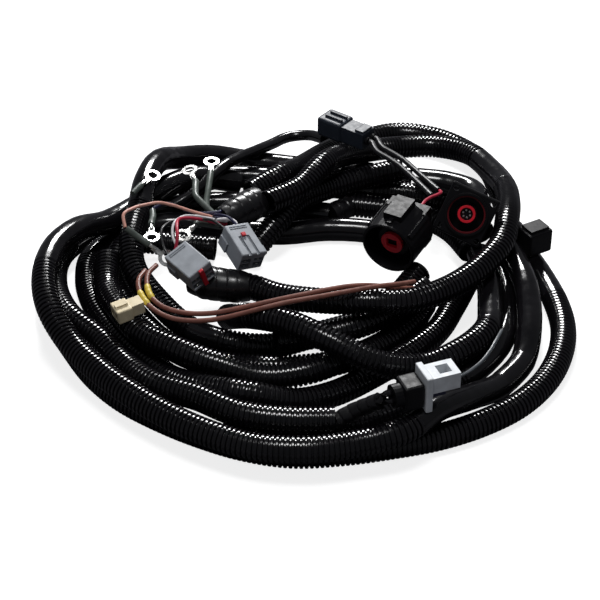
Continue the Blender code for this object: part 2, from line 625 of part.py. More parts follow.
def make_connectors(corners):
    plug_a = frame_at("plug_a_frame", at(19, 162, 57.8), (-0.79, 0.61, 0.0))
    lead_from = make_plug_a(plug_a)
    for index, (across, route) in enumerate(LEAD_ROUTES):
        head = leaving(plug_a, (lead_from, across * PLUG_A_LEAD_SPREAD, 0), -1)
        lead = line_through(head, route, [], WIRE_STEP)
        tube(f"lead_a_{index + 1}", lead, LEAD_RADIUS, BLACK_LOOM, 2)
    socket = frame_at("socket_frame", at(66, -13.5, 48.6), (-0.5, -0.86, -0.12))
    make_socket(socket)
    red_end = leaving(socket, (SOCKET_REAR, 4 * MM, 6 * MM), -1)[::-1]
    tube("wire_red", line_through([], RED_ROUTE, red_end, WIRE_STEP * 0.6), FINE_WIRE_RADIUS, RED_WIRE, 2)
    receptacle = frame_at("receptacle_frame", at(128, 18, 58.8), (-0.12, -0.87, 0.45), (0.35, 0, 1))
    make_receptacle(receptacle)
    feed = line_through(leaving(receptacle, RECEPTACLE_REAR, -1), FEED_ROUTE, [], LOOM_STEP * 0.8)
    tube("loom_feed", feed, FEED_RADIUS, BLACK_LOOM)
    plug_d = frame_at("plug_d_frame", at(-73, -61.6, 55.7), (0.62, -0.78, -0.06), (-0.3, -0.15, 0.94))
    make_box_plug("plug_d", plug_d, False)
    lead = line_through(leaving(plug_d, BOX_PLUG_REAR, -1), PLUG_D_ROUTE, entering(corners, -6, -1),
                        WIRE_STEP)
    tube("wire_plug_d", lead, FINE_WIRE_RADIUS, RED_WIRE, 2)
    plug_e = frame_at("plug_e_frame", at(-37, -42, 56), (0.46, -0.85, -0.27), (0.2, 0, 1))
    make_box_plug("plug_e", plug_e, True)
    lead = line_through(leaving(plug_e, BOX_PLUG_REAR, -1), PLUG_E_ROUTE, entering(corners, -6, 4), WIRE_STEP)
    tube("wire_plug_e", lead, FINE_WIRE_RADIUS, WHITE_WIRE, 2)
    plug_f = frame_at("plug_f_frame", at(81, -191, 53.1), (0.93, 0.36, 0))
    make_plug_f(plug_f)
    cable = line_through(leaving(plug_f, (COLLAR_REACH, 0, 3 * MM), 1), CABLE_ROUTE, [], WIRE_STEP)
    tube("cable_f", cable, FINE_WIRE_RADIUS, BLACK_LOOM, 2)
    make_cap_g(frame_at("cap_g_frame", at(184, 28, 29.4), (0.5, -0.86, 0)))
    make_plug_h(frame_at("plug_h_frame", at(-136.5, -91.6, 43.6), (-0.88, -0.46, -0.1)))


def leaving(frame, spot, way):
    """Two points on a straight line that leaves a face of a piece along the X axis of its frame."""
    bpy.context.view_layer.update()
    near = Vector(spot) + Vector((way * END_GAP, 0, 0))
    far = near + Vector((way * 3 * MM, 0, 0))
    return [tuple(frame.matrix_world @ near), tuple(frame.matrix_world @ far)]


def entering(corners, across, high):
    """Two points on a straight line that ends square on the left face of the rear wrap."""
    rear = corners["wrap_rear"]
    way = rear[1] - rear[0]
    way /= np.linalg.norm(way)
    side = np.array([-way[1], way[0], 0])
    end = rear[0] - way * END_GAP + side * across * MM + np.array([0, 0, high * MM])
    return [tuple(end - way * 3 * MM), tuple(end)]


def line_through(head, route, tail, spacing):
    """A smooth line through a route in millimetres, kept straight over the first and the last step."""
    middle = [tuple(np.asarray(point, float) * MM) for point in route]
    line = smooth_points(head[1:] + middle + tail[:1], spacing)
    return np.vstack([*(np.array([point]) for point in head[:1]), line,
                      *(np.array([point]) for point in tail[1:])])


def make_wires(corners):
    for name, (route, start) in LAID_WIRES.items():
        line = lay(route, WIRE_RADIUS, WIRE_STEP, WIRE_STIFFNESS, start=start * MM)
        tube(name, line, WIRE_RADIUS, BROWN_WIRE, 2)
    for name, (radius, look, route, entry) in WIRES.items():
        tail = entering(corners, *entry) if entry else []
        tube(name, line_through([], route, tail, WIRE_STEP), radius, look, 2)
    branch = corners["loom_branch"]
    way = branch[-1] - branch[-2]
    way /= np.linalg.norm(way)
    head = [tuple(branch[-1] + way * END_GAP), tuple(branch[-1] + way * 3 * MM)]
    tube("wrap_branch", line_through(head, TAIL_ROUTE, [], WIRE_STEP), TAIL_RADIUS, BLACK_TAPE, 3)


def make_rings(corners):
    for name, (place, along, sleeve, entry) in RINGS.items():
        tail = entering(corners, *entry) if entry else []
        make_ring(name, at(*place), along, sleeve, tail)


RINGS = {
    "ring_1": ((-119.2, 75, 58.1), (8, 15, 0), ((-133.2, 49, 58.1),), None),
    "ring_2": ((-90, 88, 55), (-11, 36, 0), ((-84, 57, 56), (-82, 46, 56)), (6, 3)),
    "ring_3": ((-73, 101, 55), (0, 48, 0), ((-74, 65, 53), (-75, 46, 47)), (6, -4)),
    "ring_4": ((-115, -2, 50), (1, -14, 0), ((-116, 28, 50), (-117, 37, 50)), None),
    "ring_5": ((-102, -29, 50), (10, -3, -7), ((-125, -22, 66), (-132, -20, 71)), None),
    "ring_6": ((-91, -2, 52), (-9, -14, 0), ((-78, 17, 51),), (-1, -5)),
}
LEAD_ROUTES = (
    (-1, ((67, 121, 57), (82, 105, 56), (96, 82, 55), (109, 59, 55))),
    (1, ((62, 115, 57), (77, 98, 56), (91, 75, 55), (103, 51, 55))))
RED_ROUTE = ((109.8, 58.2, 55), (111, 53, 57), (106, 45, 59), (98, 37, 60))
PLUG_D_ROUTE = ((-93, -24, 69), (-94, -5, 69), (-81, 10, 60))
PLUG_E_ROUTE = ((-50, 5, 61), (-60, 13, 58), (-69, 18, 53))
TAIL_ROUTE = ((36, -191, 33), (45, -193, 40), (53, -196, 47))
CABLE_ROUTE = ((118, -159, 44), (130, -142, 42), (138, -127, 44), (145, -109, 42))
FEED_ROUTE = ((140, 70, 37), (136, 90, 36), (115, 99, 36), (95, 103, 36))
LAID_WIRES = {
    "wire_brown_1": ((
        (-109, -38), (-113, -44), (-115, -57), (-111, -74), (-97, -88), (-68, -96), (-33, -95), (-8, -90),
        (14, -84), (43, -74), (73, -63), (84, -57)), 50),
    "wire_brown_2": ((
        (-117, -45), (-121, -58), (-117, -76), (-103, -92), (-88, -99), (-62, -103), (-29, -102), (-8, -98),
        (14, -92), (43, -82), (73, -70), (84, -64)), 50),
}
WIRES = {
    "wire_pink": (FINE_WIRE_RADIUS, PINK_WIRE, (
        (-132.9, -19.8, 71.8), (-136, -14, 76), (-131, -4, 77), (-120, 8, 74), (-106, 20, 68),
         (-88, 22, 60)), (-3, 2)),
    "wire_navy": (FINE_WIRE_RADIUS, NAVY_WIRE, (
        (-117.1, 38.6, 50.4), (-111, 44, 52), (-98, 40, 52), (-84, 30, 52)), (1, 7)),
}

CORNERS = lay_looms()
make_looms(CORNERS)
make_connectors(CORNERS)
make_wires(CORNERS)
make_rings(CORNERS)
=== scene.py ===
"""The coiled wiring harness, dressed over its frame: ribbed looms, taped joins, plugs, wires, terminals."""
import json
import math

import bmesh
import bpy
import numpy as np
from mathutils import Matrix, Vector

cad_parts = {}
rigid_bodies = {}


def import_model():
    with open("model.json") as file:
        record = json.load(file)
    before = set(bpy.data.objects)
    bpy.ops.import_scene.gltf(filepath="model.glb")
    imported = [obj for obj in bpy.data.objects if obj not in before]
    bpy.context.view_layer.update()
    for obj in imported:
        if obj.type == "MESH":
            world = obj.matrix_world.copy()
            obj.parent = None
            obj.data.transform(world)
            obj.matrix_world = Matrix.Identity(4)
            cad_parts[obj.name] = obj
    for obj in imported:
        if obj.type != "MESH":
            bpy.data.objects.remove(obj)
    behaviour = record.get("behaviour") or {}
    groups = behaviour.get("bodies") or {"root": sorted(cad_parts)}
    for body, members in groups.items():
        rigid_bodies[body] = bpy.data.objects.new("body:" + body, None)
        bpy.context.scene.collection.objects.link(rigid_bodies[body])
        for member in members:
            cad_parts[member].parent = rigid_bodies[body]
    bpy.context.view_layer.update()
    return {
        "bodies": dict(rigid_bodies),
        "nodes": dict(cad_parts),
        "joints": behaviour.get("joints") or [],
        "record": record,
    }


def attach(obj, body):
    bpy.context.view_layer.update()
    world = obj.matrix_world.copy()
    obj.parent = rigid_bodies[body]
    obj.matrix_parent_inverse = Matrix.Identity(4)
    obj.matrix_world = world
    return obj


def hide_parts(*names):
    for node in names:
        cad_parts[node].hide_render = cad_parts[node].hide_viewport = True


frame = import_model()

MM = 0.001

# Camera, floor and light
CAMERA_PLACE = (-0.001, -1.1466, 0.8229)
CAMERA_TILT = math.radians(54)
CAMERA_LENS = 107.7
CAMERA_SENSOR = 36
CAMERA_NEAR = 0.05
FLOOR_SIDE = 4.0
FLOOR_DIM = (0.12, 0.12, 0.13)
FLOOR_PAPER = (0.5, 0.5, 0.5)
FLOOR_GLOW = 0.82
SKY_COLOUR = (0.9, 0.93, 1.0)
SKY_STRENGTH = 0.11
LAMPS = (
    ("lamp_back", (0.0, 1.25, 1.0), (0.55, 0.22), 30),
    ("lamp_top", (-0.1, -0.35, 1.6), (0.35, 0.35), 9),
)

# Looms and wires
LOOM_RADIUS = 9.8 * MM
THIN_LOOM_RADIUS = 4.9 * MM
WRAP_RADIUS = 13.5 * MM
WIRE_RADIUS = 1.9 * MM
LEAD_RADIUS = 2.3 * MM
FEED_RADIUS = 11 * MM
TAIL_RADIUS = 7 * MM
FINE_WIRE_RADIUS = 1.3 * MM
EXTRA_WIRE_RADIUS = FINE_WIRE_RADIUS * 0.8
TAIL_WIRE_RADIUS = 2 * MM
SLEEVE_RADIUS = 2.6 * MM
SLEEVE_STEP = 11 * MM
GAP = 0.3 * MM
LAY_GAP = 0.38 * MM
END_GAP = 0.35 * MM
REAR_LIFT = 3.5 * MM
LOOM_STEP = 35 * MM
THIN_LOOM_STEP = LOOM_STEP * 0.6
FEED_STEP = LOOM_STEP * 0.8
WIRE_STEP = 13 * MM
RED_STEP = WIRE_STEP * 0.6
TAIL_WIRE_STEP = WIRE_STEP * 0.5
WRAP_LAY_STEP = 9 * MM
WIRE_STIFFNESS = 1.5
STRAIGHT = 3 * MM
LINE_STEP = 0.5 * MM

# Ribs of a loom: the pitch, and the share of the pitch and of the rib's depth at each ring of one rib
PITCH = 3.5 * MM
RIB_DEPTH = 1.5 * MM
RIB_STOPS = ((0.0, -1.0), (0.2, -1.0), (0.3, -0.2), (0.42, -0.02), (0.78, -0.02), (0.9, -0.2))
SIDES = 20
LAP = 11 * MM
SMOOTH_STEP = 2 * MM
BORE_DEPTH = 5 * MM
BORE_SHARE = 0.86
SWELL = 0.012
SWELL_POINTS = 12
LAP_SINK = 0.1 * MM
LAP_RISE = 0.12 * MM
SHARP_ANGLE = math.radians(26)

# Spans of each loom, as shares of its length, that are smooth tubing or tape instead of ribbed
SMOOTH = {
    "loom_outer": ((0.0, 0.24), (0.9, 1.0)),
    "loom_front": ((0.0, 0.27), (0.69, 1.0)),
    "loom_inner": ((0.63, 1.0),),
    "loom_high": ((0.27, 0.31), (0.53, 0.95)),
    "loom_sweep": ((0.71, 1.0),),
    "loom_trunk": ((0.5, 0.6),),
    "loom_under": ((0.0, 0.45),),
    "loom_back": ((0.0, 0.6),),
    "lead_thin": ((0.0, 1.0),),
    "loom_feed": ((0.0, 1.0),),
}

# Taped wraps: how each swells from its start to its end, and the tape's own lap and edge
WRAP_SIDES = 40
WRAP_STEP = 0.8 * MM
WRAP_LAP = 8 * MM
FRONT_SWELL = ((0, 0.25, 0.8, 1), (0.75, 1, 0.95, 0.8))
REAR_SWELL = ((0, 0.3, 0.7, 1), (0.7, 0.9, 1, 0.95))
BRANCH_SWELL = ((0, 1), (1, 0.92))
SPLICE_SWELL = ((0, 0.5, 1), (0.97, 1, 0.97))

# The yellow tape on the brown wires
BAND_START = 26 * MM
BAND_LENGTH = 15 * MM
BAND_RINGS = 14
BAND_SIDES = 16
BAND_WAVES = 23

# A line gets its tape bands only from these lengths on: in radii, and for a wire also in metres
CORD_RADII = 12.5
CORD_LEAST = 0.031

# How a laid loom bends over what lies under it: stiffness over weight, and how firmly it is held up
BEND_STIFFNESS = 7.0e-5
CONTACT_PUSH = 4.0e4
PIN_PUSH = 1.0e6
FINE = 8
LAY_ROUNDS = 200
LAY_CLOSE = 1e-8

# Plug A, the two-way sealed plug on the long leads
PLUG_A_HOOD = 24 * MM
PLUG_A_BODY = 23 * MM
PLUG_A_OVERLAP = 1 * MM
PLUG_A_SEAL = 3 * MM
PLUG_A_TAIL = -PLUG_A_HOOD - PLUG_A_BODY + PLUG_A_OVERLAP - PLUG_A_SEAL - GAP
PLUG_A_LEAD_SPREAD = 3.6 * MM

# The large round socket and the flanged round receptacle
SOCKET_RADIUS = 22 * MM
SOCKET_LENGTH = 33 * MM
SOCKET_BOOT = 8 * MM
SOCKET_REAR = -SOCKET_BOOT - SOCKET_LENGTH
RECEPTACLE_RADIUS = 17 * MM
RECEPTACLE_WALL = 2 * MM
RECEPTACLE_DEPTH = 17 * MM
RECEPTACLE_LENGTH = 25 * MM
RECEPTACLE_CORE_LENGTH = 8 * MM
RECEPTACLE_MOUTH = 4 * MM
RECEPTACLE_REAR = (RECEPTACLE_MOUTH - RECEPTACLE_LENGTH, 0, 0)
SEAL_THICK = 1.2 * MM
CONTACT_COUNT = 6
CONTACT_CIRCLE = 2.9 * MM

# Grey box plugs D and E
BOX_PLUG_LENGTH = 32 * MM
BOX_PLUG_WIDTH = 21 * MM
BOX_PLUG_HEIGHT = 17 * MM
BOX_PLUG_REAR = (-BOX_PLUG_LENGTH, 0, 0)
BOX_SLOT_WIDTH = BOX_PLUG_WIDTH * 0.39
BOX_SLOT_HEIGHT = BOX_PLUG_HEIGHT * 0.55
BOX_SLOT_SPREAD = BOX_PLUG_WIDTH * 0.265
BOX_SLOT_DROP = BOX_PLUG_HEIGHT * 0.1
BOX_GROOVE_LENGTH = BOX_PLUG_LENGTH * 0.6
BOX_GROOVE_SPREAD = 3.4 * MM
BOX_RIDGES = (0.86, 0.92)
# Play of the black painted-shade plates and the grey webs in each socket
SLOT_FILL_PLAY = 0.4 * MM

# Plug F with the pale locking collar
PLUG_F_LENGTH = 15 * MM
COLLAR_LENGTH = 24 * MM
COLLAR_REACH = COLLAR_LENGTH + 2 * MM + GAP

# Ring terminals
EYE_RADIUS = 6.6 * MM
BARREL_RADIUS = 1.7 * MM
BARREL_LENGTH = 6 * MM
NECK_LENGTH = 4 * MM

# Straight runs of the looms that leave the wraps, in millimetres as their routes are
TOP_RUN = 24
TRUNK_START_RUN = 26
TRUNK_END_RUN = 42

# Routes in millimetres on the floor plan, laid in this order, so that each rests on those before it
LOOM_ROUTES = {
    "loom_outer": (
        (24, 92), (-18, 102), (-59, 110), (-101, 105), (-137, 92), (-166, 70), (-186, 45), (-195, 18),
        (-197, -12), (-190, -43), (-176, -75), (-156, -113), (-136, -140), (-111, -162), (-82, -181),
        (-54, -196), (-27, -205), (-1, -209), (30, -206), (68, -198), (104, -187), (137, -169),
        (164, -146), (184, -115), (196, -78), (197, -43), (192, -10), (184, 18), (177, 45), (172, 70)),
    "loom_under": (
        (158, 18), (160, -8), (158, -43), (151, -75), (138, -100), (119, -123), (92, -145), (59, -166),
        (31, -178), (-1, -183), (-28, -179), (-52, -170)),
    "loom_inner": (
        (129, -4), (120, -25), (109, -56), (92, -81), (69, -105), (42, -129), (17, -146), (-8, -157),
        (-29, -160), (-55, -154), (-80, -138), (-101, -118), (-127, -87), (-150, -54), (-163, -21),
        (-169, 10), (-167, 28), (-162, 43), (-148, 56), (-124, 75), (-83, 78), (-42, 66), (-1, 66),
        (32, 72), (60, 66), (88, 55)),
    "loom_branch": (
        (-184, 22), (-189, 4), (-189, -21), (-184, -50),
        (-176, -70), (-161, -86), (-146, -101), (-126, -127), (-105, -150), (-79, -163), (-53, -182),
        (-25, -191), (2, -192), (23, -192)),
    "loom_back": (
        (-102, 133), (-73, 149), (-39, 150), (-1, 142), (37, 133), (75, 127), (108, 117), (133, 96),
        (148, 66)),
    "loom_rear": (
        (42, 107), (74, 100), (102, 88), (123, 66), (135, 39)),
    "loom_short": (
        (95, -32), (85, -54), (71, -74), (36, -101), (3, -111), (-32, -112), (-69, -105), (-91, -93),
        (-112, -69), (-132, -36), (-145, -1), (-148, 25), (-141, 37), (-125, 43), (-97, 47), (-69, 43)),
    "loom_middle": (
        (-150, -1), (-150, -25), (-143, -49), (-132, -73), (-117, -97), (-100, -111), (-81, -120),
        (-59, -129), (-30, -135), (-1, -134), (24, -124), (37, -117)),
    "loom_front": (
        (-52, 131), (-85, 125), (-124, 89), (-149, 55), (-168, 30), (-182, 1), (-191, -23), (-192, -51),
        (-187, -78), (-178, -97), (-163, -118), (-144, -140), (-121, -164), (-97, -184), (-71, -201),
        (-42, -215), (-11, -222), (19, -220), (47, -214), (71, -206), (104, -173), (144, -132),
        (165, -99), (171, -66), (171, -35), (166, -2), (158, 33)),
    "loom_high": (
        (92, -12), (76, -32), (56, -50), (25, -65), (-5, -79), (-29, -88), (-48, -90), (-70, -80),
        (-93, -65), (-109, -46), (-122, -25), (-131, -15), (-135, -14), (-135, -5), (-131, 21),
        (-126, 76), (-116, 116), (-98, 148), (-70, 168), (-31, 173), (-1, 165), (33, 158), (67, 155),
        (93, 149)),
    "loom_low": (
        (-19, -98), (6, -91), (36, -84), (59, -73), (78, -57), (94, -39)),
    "loom_sweep": (
        (-56, -62), (-45, -79), (-34, -93), (-11, -108), (21, -127), (46, -137), (74, -136), (100, -125),
        (119, -113), (133, -99), (140, -74), (143, -44), (143, -15), (139, 12)),
}
REAR_WRAP_ROUTE = ((-62, 30), (-47, 43), (-34, 55))
FRONT_WRAP_ROUTE = ((-84, -40), (-62, -46), (-38, -50))
TOP_ROUTE = (
    (9, 134), (33, 173), (56, 208), (80, 222), (105, 220), (130, 206), (156, 175), (166, 133), (170, 96))
CROSS_ROUTE = (
    (-43, 29), (-31, 37), (-15, 60), (1, 85), (24, 105), (53, 120), (83, 130))
TRUNK_ROUTE = (
    (-16, -66), (14, -72), (43, -80), (72, -81), (103, -63), (129, -40), (144, -20), (155, -1),
    (164, 46), (166, 91), (162, 120), (153, 145), (140, 170), (120, 184), (94, 184), (72, 175),
    (41, 144))
THIN_ROUTE = (
    (-105, 84), (-91, 93), (-75, 110), (-43, 157), (-27, 180), (-14, 195), (-1, 201), (10, 193),
    (20, 180))

# Ring terminals: place and direction of the eye, route of the sleeve, and where it enters the rear wrap
RINGS = {
    "ring_1": ((-119.2, 75, 58.1), (8, 15, 0), ((-133.2, 49, 58.1),), None),
    "ring_2": ((-90, 88, 55), (-11, 36, 0), ((-84, 57, 56), (-82, 46, 56)), (6, 3)),
    "ring_3": ((-73, 101, 55), (0, 48, 0), ((-74, 65, 53), (-75, 46, 47)), (6, -4)),
    "ring_4": ((-115, -2, 50), (1, -14, 0), ((-116, 28, 50), (-117, 37, 50)), None),
    "ring_5": ((-102, -29, 50), (10, -3, -7), ((-125, -22, 66), (-132, -20, 71)), None),
    "ring_6": ((-91, -2, 52), (-9, -14, 0), ((-78, 17, 51),), (-1, -5)),
}

# Routes of the leads and wires in millimetres; the brown wires are laid from their plan and a start height
LEAD_ROUTES = (
    (-1, ((67, 121, 57), (82, 105, 56), (96, 82, 55), (109, 59, 55))),
    (1, ((62, 115, 57), (77, 98, 56), (91, 75, 55), (103, 51, 55))))
RED_ROUTE = ((109.8, 58.2, 55), (111, 53, 57), (106, 45, 59), (98, 37, 60))
PLUG_D_ROUTE = ((-93, -24, 69), (-94, -5, 69), (-81, 10, 60))
PLUG_E_ROUTE = ((-50, 5, 61), (-60, 13, 58), (-69, 18, 53))
TAIL_ROUTE = ((36, -191, 33), (45, -193, 40), (53, -196, 47))
CABLE_ROUTE = ((118, -159, 44), (130, -142, 42), (138, -127, 44), (145, -109, 42))
FEED_ROUTE = ((140, 70, 37), (136, 90, 36), (115, 99, 36), (95, 103, 36))
LAID_WIRES = {
    "wire_brown_1": ((
        (-109, -38), (-113, -44), (-115, -57), (-111, -74), (-97, -88), (-68, -96), (-33, -95), (-8, -90),
        (14, -84), (43, -74), (73, -63), (84, -57)), 50),
    "wire_brown_2": ((
        (-117, -45), (-121, -58), (-117, -76), (-103, -92), (-88, -99), (-62, -103), (-29, -102), (-8, -98),
        (14, -92), (43, -82), (73, -70), (84, -64)), 50),
}
WIRES = {
    "wire_pink": (FINE_WIRE_RADIUS, "pink", (
        (-132.9, -19.8, 71.8), (-136, -14, 76), (-131, -4, 77), (-120, 8, 74), (-106, 20, 68),
        (-88, 22, 60)), (-3, 2)),
    "wire_navy": (FINE_WIRE_RADIUS, "navy", (
        (-117.1, 38.6, 50.4), (-111, 44, 52), (-98, 40, 52), (-84, 30, 52)), (1, 7)),
}

# More fine wires of the grey plugs: the plug, where the wire leaves it, its route, its entry and its colour
EXTRA_WIRES = {
    "wire_d_white": ("plug_d", (4, 2), (
        (-97, -22, 64), (-97, -9, 68), (-89, 5, 66), (-76, 15, 58)), (-8, 3), "white"),
    "wire_d_black": ("plug_d", (-5, -2), (
        (-104, -27, 60), (-106, -12, 65), (-98, 4, 62), (-84, 16, 53)), (-3, -5), "black"),
    "wire_e_black": ("plug_e", (-6, 1), (
        (-64, -7, 68), (-73, 2, 65), (-75, 13, 57)), (-2, 1), "black"),
    "wire_e_navy": ("plug_e", (5, 2), (
        (-56, -1, 69), (-65, 5, 67), (-68, 13, 60)), (-9, 6), "navy"),
}
TAIL_WIRES = ((-3.5, 1), (0.5, 3.5), (3.5, -1), (0, -3.5))


def smooth_points(route, spacing):
    """Points a spacing apart along a smooth curve through the route's own points."""
    points = np.asarray(route, float)
    padded = np.vstack([2 * points[0] - points[1], points, 2 * points[-1] - points[-2]])
    part = np.linspace(0, 1, 24, endpoint=False)[:, None]
    pieces = []
    for index in range(len(points) - 1):
        a, b, c, d = padded[index:index + 4]
        cubic = (3 * b - a - 3 * c + d) * part ** 3
        square = (2 * a - 5 * b + 4 * c - d) * part ** 2
        pieces.append(0.5 * (2 * b + (c - a) * part + square + cubic))
    pieces.append(points[-1:])
    curve = np.vstack(pieces)
    steps = np.linalg.norm(np.diff(curve, axis=0), axis=1)
    run = np.concatenate([[0], np.cumsum(steps)])
    stops = np.linspace(0, run[-1], max(2, round(run[-1] / spacing) + 1))
    return np.stack([np.interp(stops, run, curve[:, axis]) for axis in range(points.shape[1])], 1)


class Pile:
    """What has been laid so far, as close-set points with the radius at each."""

    def __init__(self):
        self.points = np.zeros((0, 3))
        self.radii = np.zeros(0)

    def add(self, points, radius):
        self.points = np.vstack([self.points, points])
        self.radii = np.concatenate([self.radii, np.full(len(points), radius)])

    def support(self, places, radius):
        """The least height at which a round thing's axis may pass over each place."""
        low = np.full(len(places), radius)
        if len(self.points):
            apart = ((places[:, None, :] - self.points[None, :, :2]) ** 2).sum(2)
            reach = (radius + self.radii[None, :] + LAY_GAP) ** 2
            rise = np.sqrt(np.clip(reach - apart, 0, None))
            over = np.where(apart < reach, self.points[None, :, 2] + rise, 0)
            low = np.maximum(low, over.max(1))
        return low


PILE = Pile()


def between(count):
    """Weights that read FINE points per step off a line's corners."""
    rows = (count - 1) * FINE + 1
    weights = np.zeros((rows, count))
    for row in range(rows):
        corner = min(row // FINE, count - 2)
        share = row / FINE - corner
        weights[row, corner] = 1 - share
        weights[row, corner + 1] = share
    return weights


def lay(route, radius, spacing, stiffness=1.0, start=None, end=None):
    """Lays a springy tube on the floor and the pile: its corners with the heights at which it comes to rest.

    The plan stays as drawn. The heights make the bending energy and the weight least, while every point
    between the corners stays above what lies there. start and end hold that end level at a given height.
    """
    plan = smooth_points(np.asarray(route, float) * MM, spacing)
    count = len(plan)
    weights = between(count)
    fine = weights @ plan
    floor = PILE.support(fine, radius)
    if start is not None:
        floor[:FINE] = radius
    if end is not None:
        floor[-FINE:] = radius
    step = np.linalg.norm(plan[1] - plan[0])
    bends = np.zeros((count - 2, count))
    for index in range(count - 2):
        bends[index, index:index + 3] = (1, -2, 1)
    spring = stiffness * BEND_STIFFNESS * bends.T @ bends / step ** 3
    held = np.zeros(count)
    held_at = np.zeros(count)
    if start is not None:
        held[:2] = PIN_PUSH
        held_at[:2] = start
    if end is not None:
        held[-2:] = PIN_PUSH
        held_at[-2:] = end
    heights = np.full(count, floor.max())
    for _ in range(LAY_ROUNDS):
        touching = weights @ heights < floor + 1e-9
        grid = weights[touching]
        matrix = spring + CONTACT_PUSH * grid.T @ grid + np.diag(held + 1e-6)
        pull = CONTACT_PUSH * grid.T @ floor[touching] + held * held_at - step
        change = np.linalg.solve(matrix, pull) - heights

        def energy(levels):
            short = np.clip(floor - weights @ levels, 0, None)
            bent = 0.5 * levels @ spring @ levels + step * levels.sum()
            pushed = 0.5 * CONTACT_PUSH * (short ** 2).sum()
            return bent + pushed + 0.5 * (held * (levels - held_at) ** 2).sum()
        share = 1.0
        while share > 0.01 and energy(heights + share * change) > energy(heights):
            share *= 0.5
        heights = heights + share * change
        if np.abs(share * change).max() < LAY_CLOSE:
            break
    corners = np.column_stack([plan, heights])
    PILE.add(weights @ corners, radius)
    return corners


def lay_rigid(route, radius, spacing):
    """Rests a stiff, level piece on the pile."""
    plan = smooth_points(np.asarray(route, float) * MM, spacing)
    weights = between(len(plan))
    height = PILE.support(weights @ plan, radius).max()
    corners = np.column_stack([plan, np.full(len(plan), height)])
    PILE.add(weights @ corners, radius)
    return corners


def at(x, y, z):
    return Vector((x * MM, y * MM, z * MM))


def square_end(corners, way, last):
    """Adds a short straight step at one end, so that the end face stands square to what it meets."""
    step = np.append(way, 0) * STRAIGHT
    if last:
        return np.insert(corners, -1, corners[-1] + step, axis=0)
    return np.insert(corners, 1, corners[0] + step, axis=0)


def lay_looms():
    """Lays the looms of the coil from the floor up, with the two taped wraps that hold their ends."""
    corners = {}
    for name, route in LOOM_ROUTES.items():
        corners[name] = lay(route, LOOM_RADIUS, LOOM_STEP)
    front = corners["wrap_front"] = lay_rigid(FRONT_WRAP_ROUTE, WRAP_RADIUS, WRAP_LAY_STEP)
    corners["loom_cross"] = lay(CROSS_ROUTE, LOOM_RADIUS, LOOM_STEP)
    rear = corners["wrap_rear"] = lay_rigid(REAR_WRAP_ROUTE, WRAP_RADIUS, WRAP_LAY_STEP)
    rear_height = rear[0][2] + REAR_LIFT
    rear_way = (rear[-1] - rear[-2])[:2]
    rear_way /= np.linalg.norm(rear_way)
    beside = np.array([-rear_way[1], rear_way[0]]) * (LOOM_RADIUS + GAP) / MM
    mouth = rear[-1][:2] / MM + rear_way * END_GAP / MM
    top_start = mouth + beside
    top_route = (tuple(top_start), tuple(top_start + rear_way * TOP_RUN), *TOP_ROUTE)
    top = lay(top_route, LOOM_RADIUS, LOOM_STEP, start=rear_height)
    corners["loom_top"] = square_end(top, rear_way, False)
    front_way = (front[-1] - front[-2])[:2]
    front_way /= np.linalg.norm(front_way)
    trunk_start = front[-1][:2] / MM + front_way * END_GAP / MM
    trunk_end = mouth - beside
    trunk_route = (tuple(trunk_start), tuple(trunk_start + front_way * TRUNK_START_RUN), *TRUNK_ROUTE,
                   tuple(trunk_end + rear_way * TRUNK_END_RUN), tuple(trunk_end))
    trunk = lay(trunk_route, LOOM_RADIUS, LOOM_STEP, start=front[0][2], end=rear_height)
    corners["loom_trunk"] = square_end(square_end(trunk, front_way, False), rear_way, True)
    corners["lead_thin"] = lay(THIN_ROUTE, THIN_LOOM_RADIUS, THIN_LOOM_STEP)
    return corners


def line_through(head, route, tail, spacing):
    """A smooth line through a route in millimetres, kept straight over the first and the last step."""
    middle = [tuple(np.asarray(point, float) * MM) for point in route]
    line = smooth_points(head[1:] + middle + tail[:1], spacing)
    first = [np.array([point]) for point in head[:1]]
    last = [np.array([point]) for point in tail[1:]]
    return np.vstack([*first, line, *last])


def unit(vector):
    return np.asarray(vector, float) / np.linalg.norm(vector)


def frame_at(place, forward, up=(0, 0, 1)):
    """A placing matrix whose X axis points forward and whose Z axis leans towards up."""
    x = Vector(forward).normalized()
    y = Vector(up).cross(x).normalized()
    z = x.cross(y)
    return Matrix.Translation(place) @ Matrix((x, y, z)).transposed().to_4x4()


def leaving(frame, spot, way):
    """Two points on a straight line that leaves a face of a piece along the X axis of its frame."""
    near = Vector(spot) + Vector((way * END_GAP, 0, 0))
    far = near + Vector((way * STRAIGHT, 0, 0))
    return [tuple(frame @ near), tuple(frame @ far)]


def entering(corners, across, high):
    """Two points on a straight line that ends square on the left face of the rear wrap."""
    rear = corners["wrap_rear"]
    way = unit(rear[1] - rear[0])
    side = np.array([-way[1], way[0], 0])
    end = rear[0] - way * END_GAP + side * across * MM + np.array([0, 0, high * MM])
    return [tuple(end - way * STRAIGHT), tuple(end)]


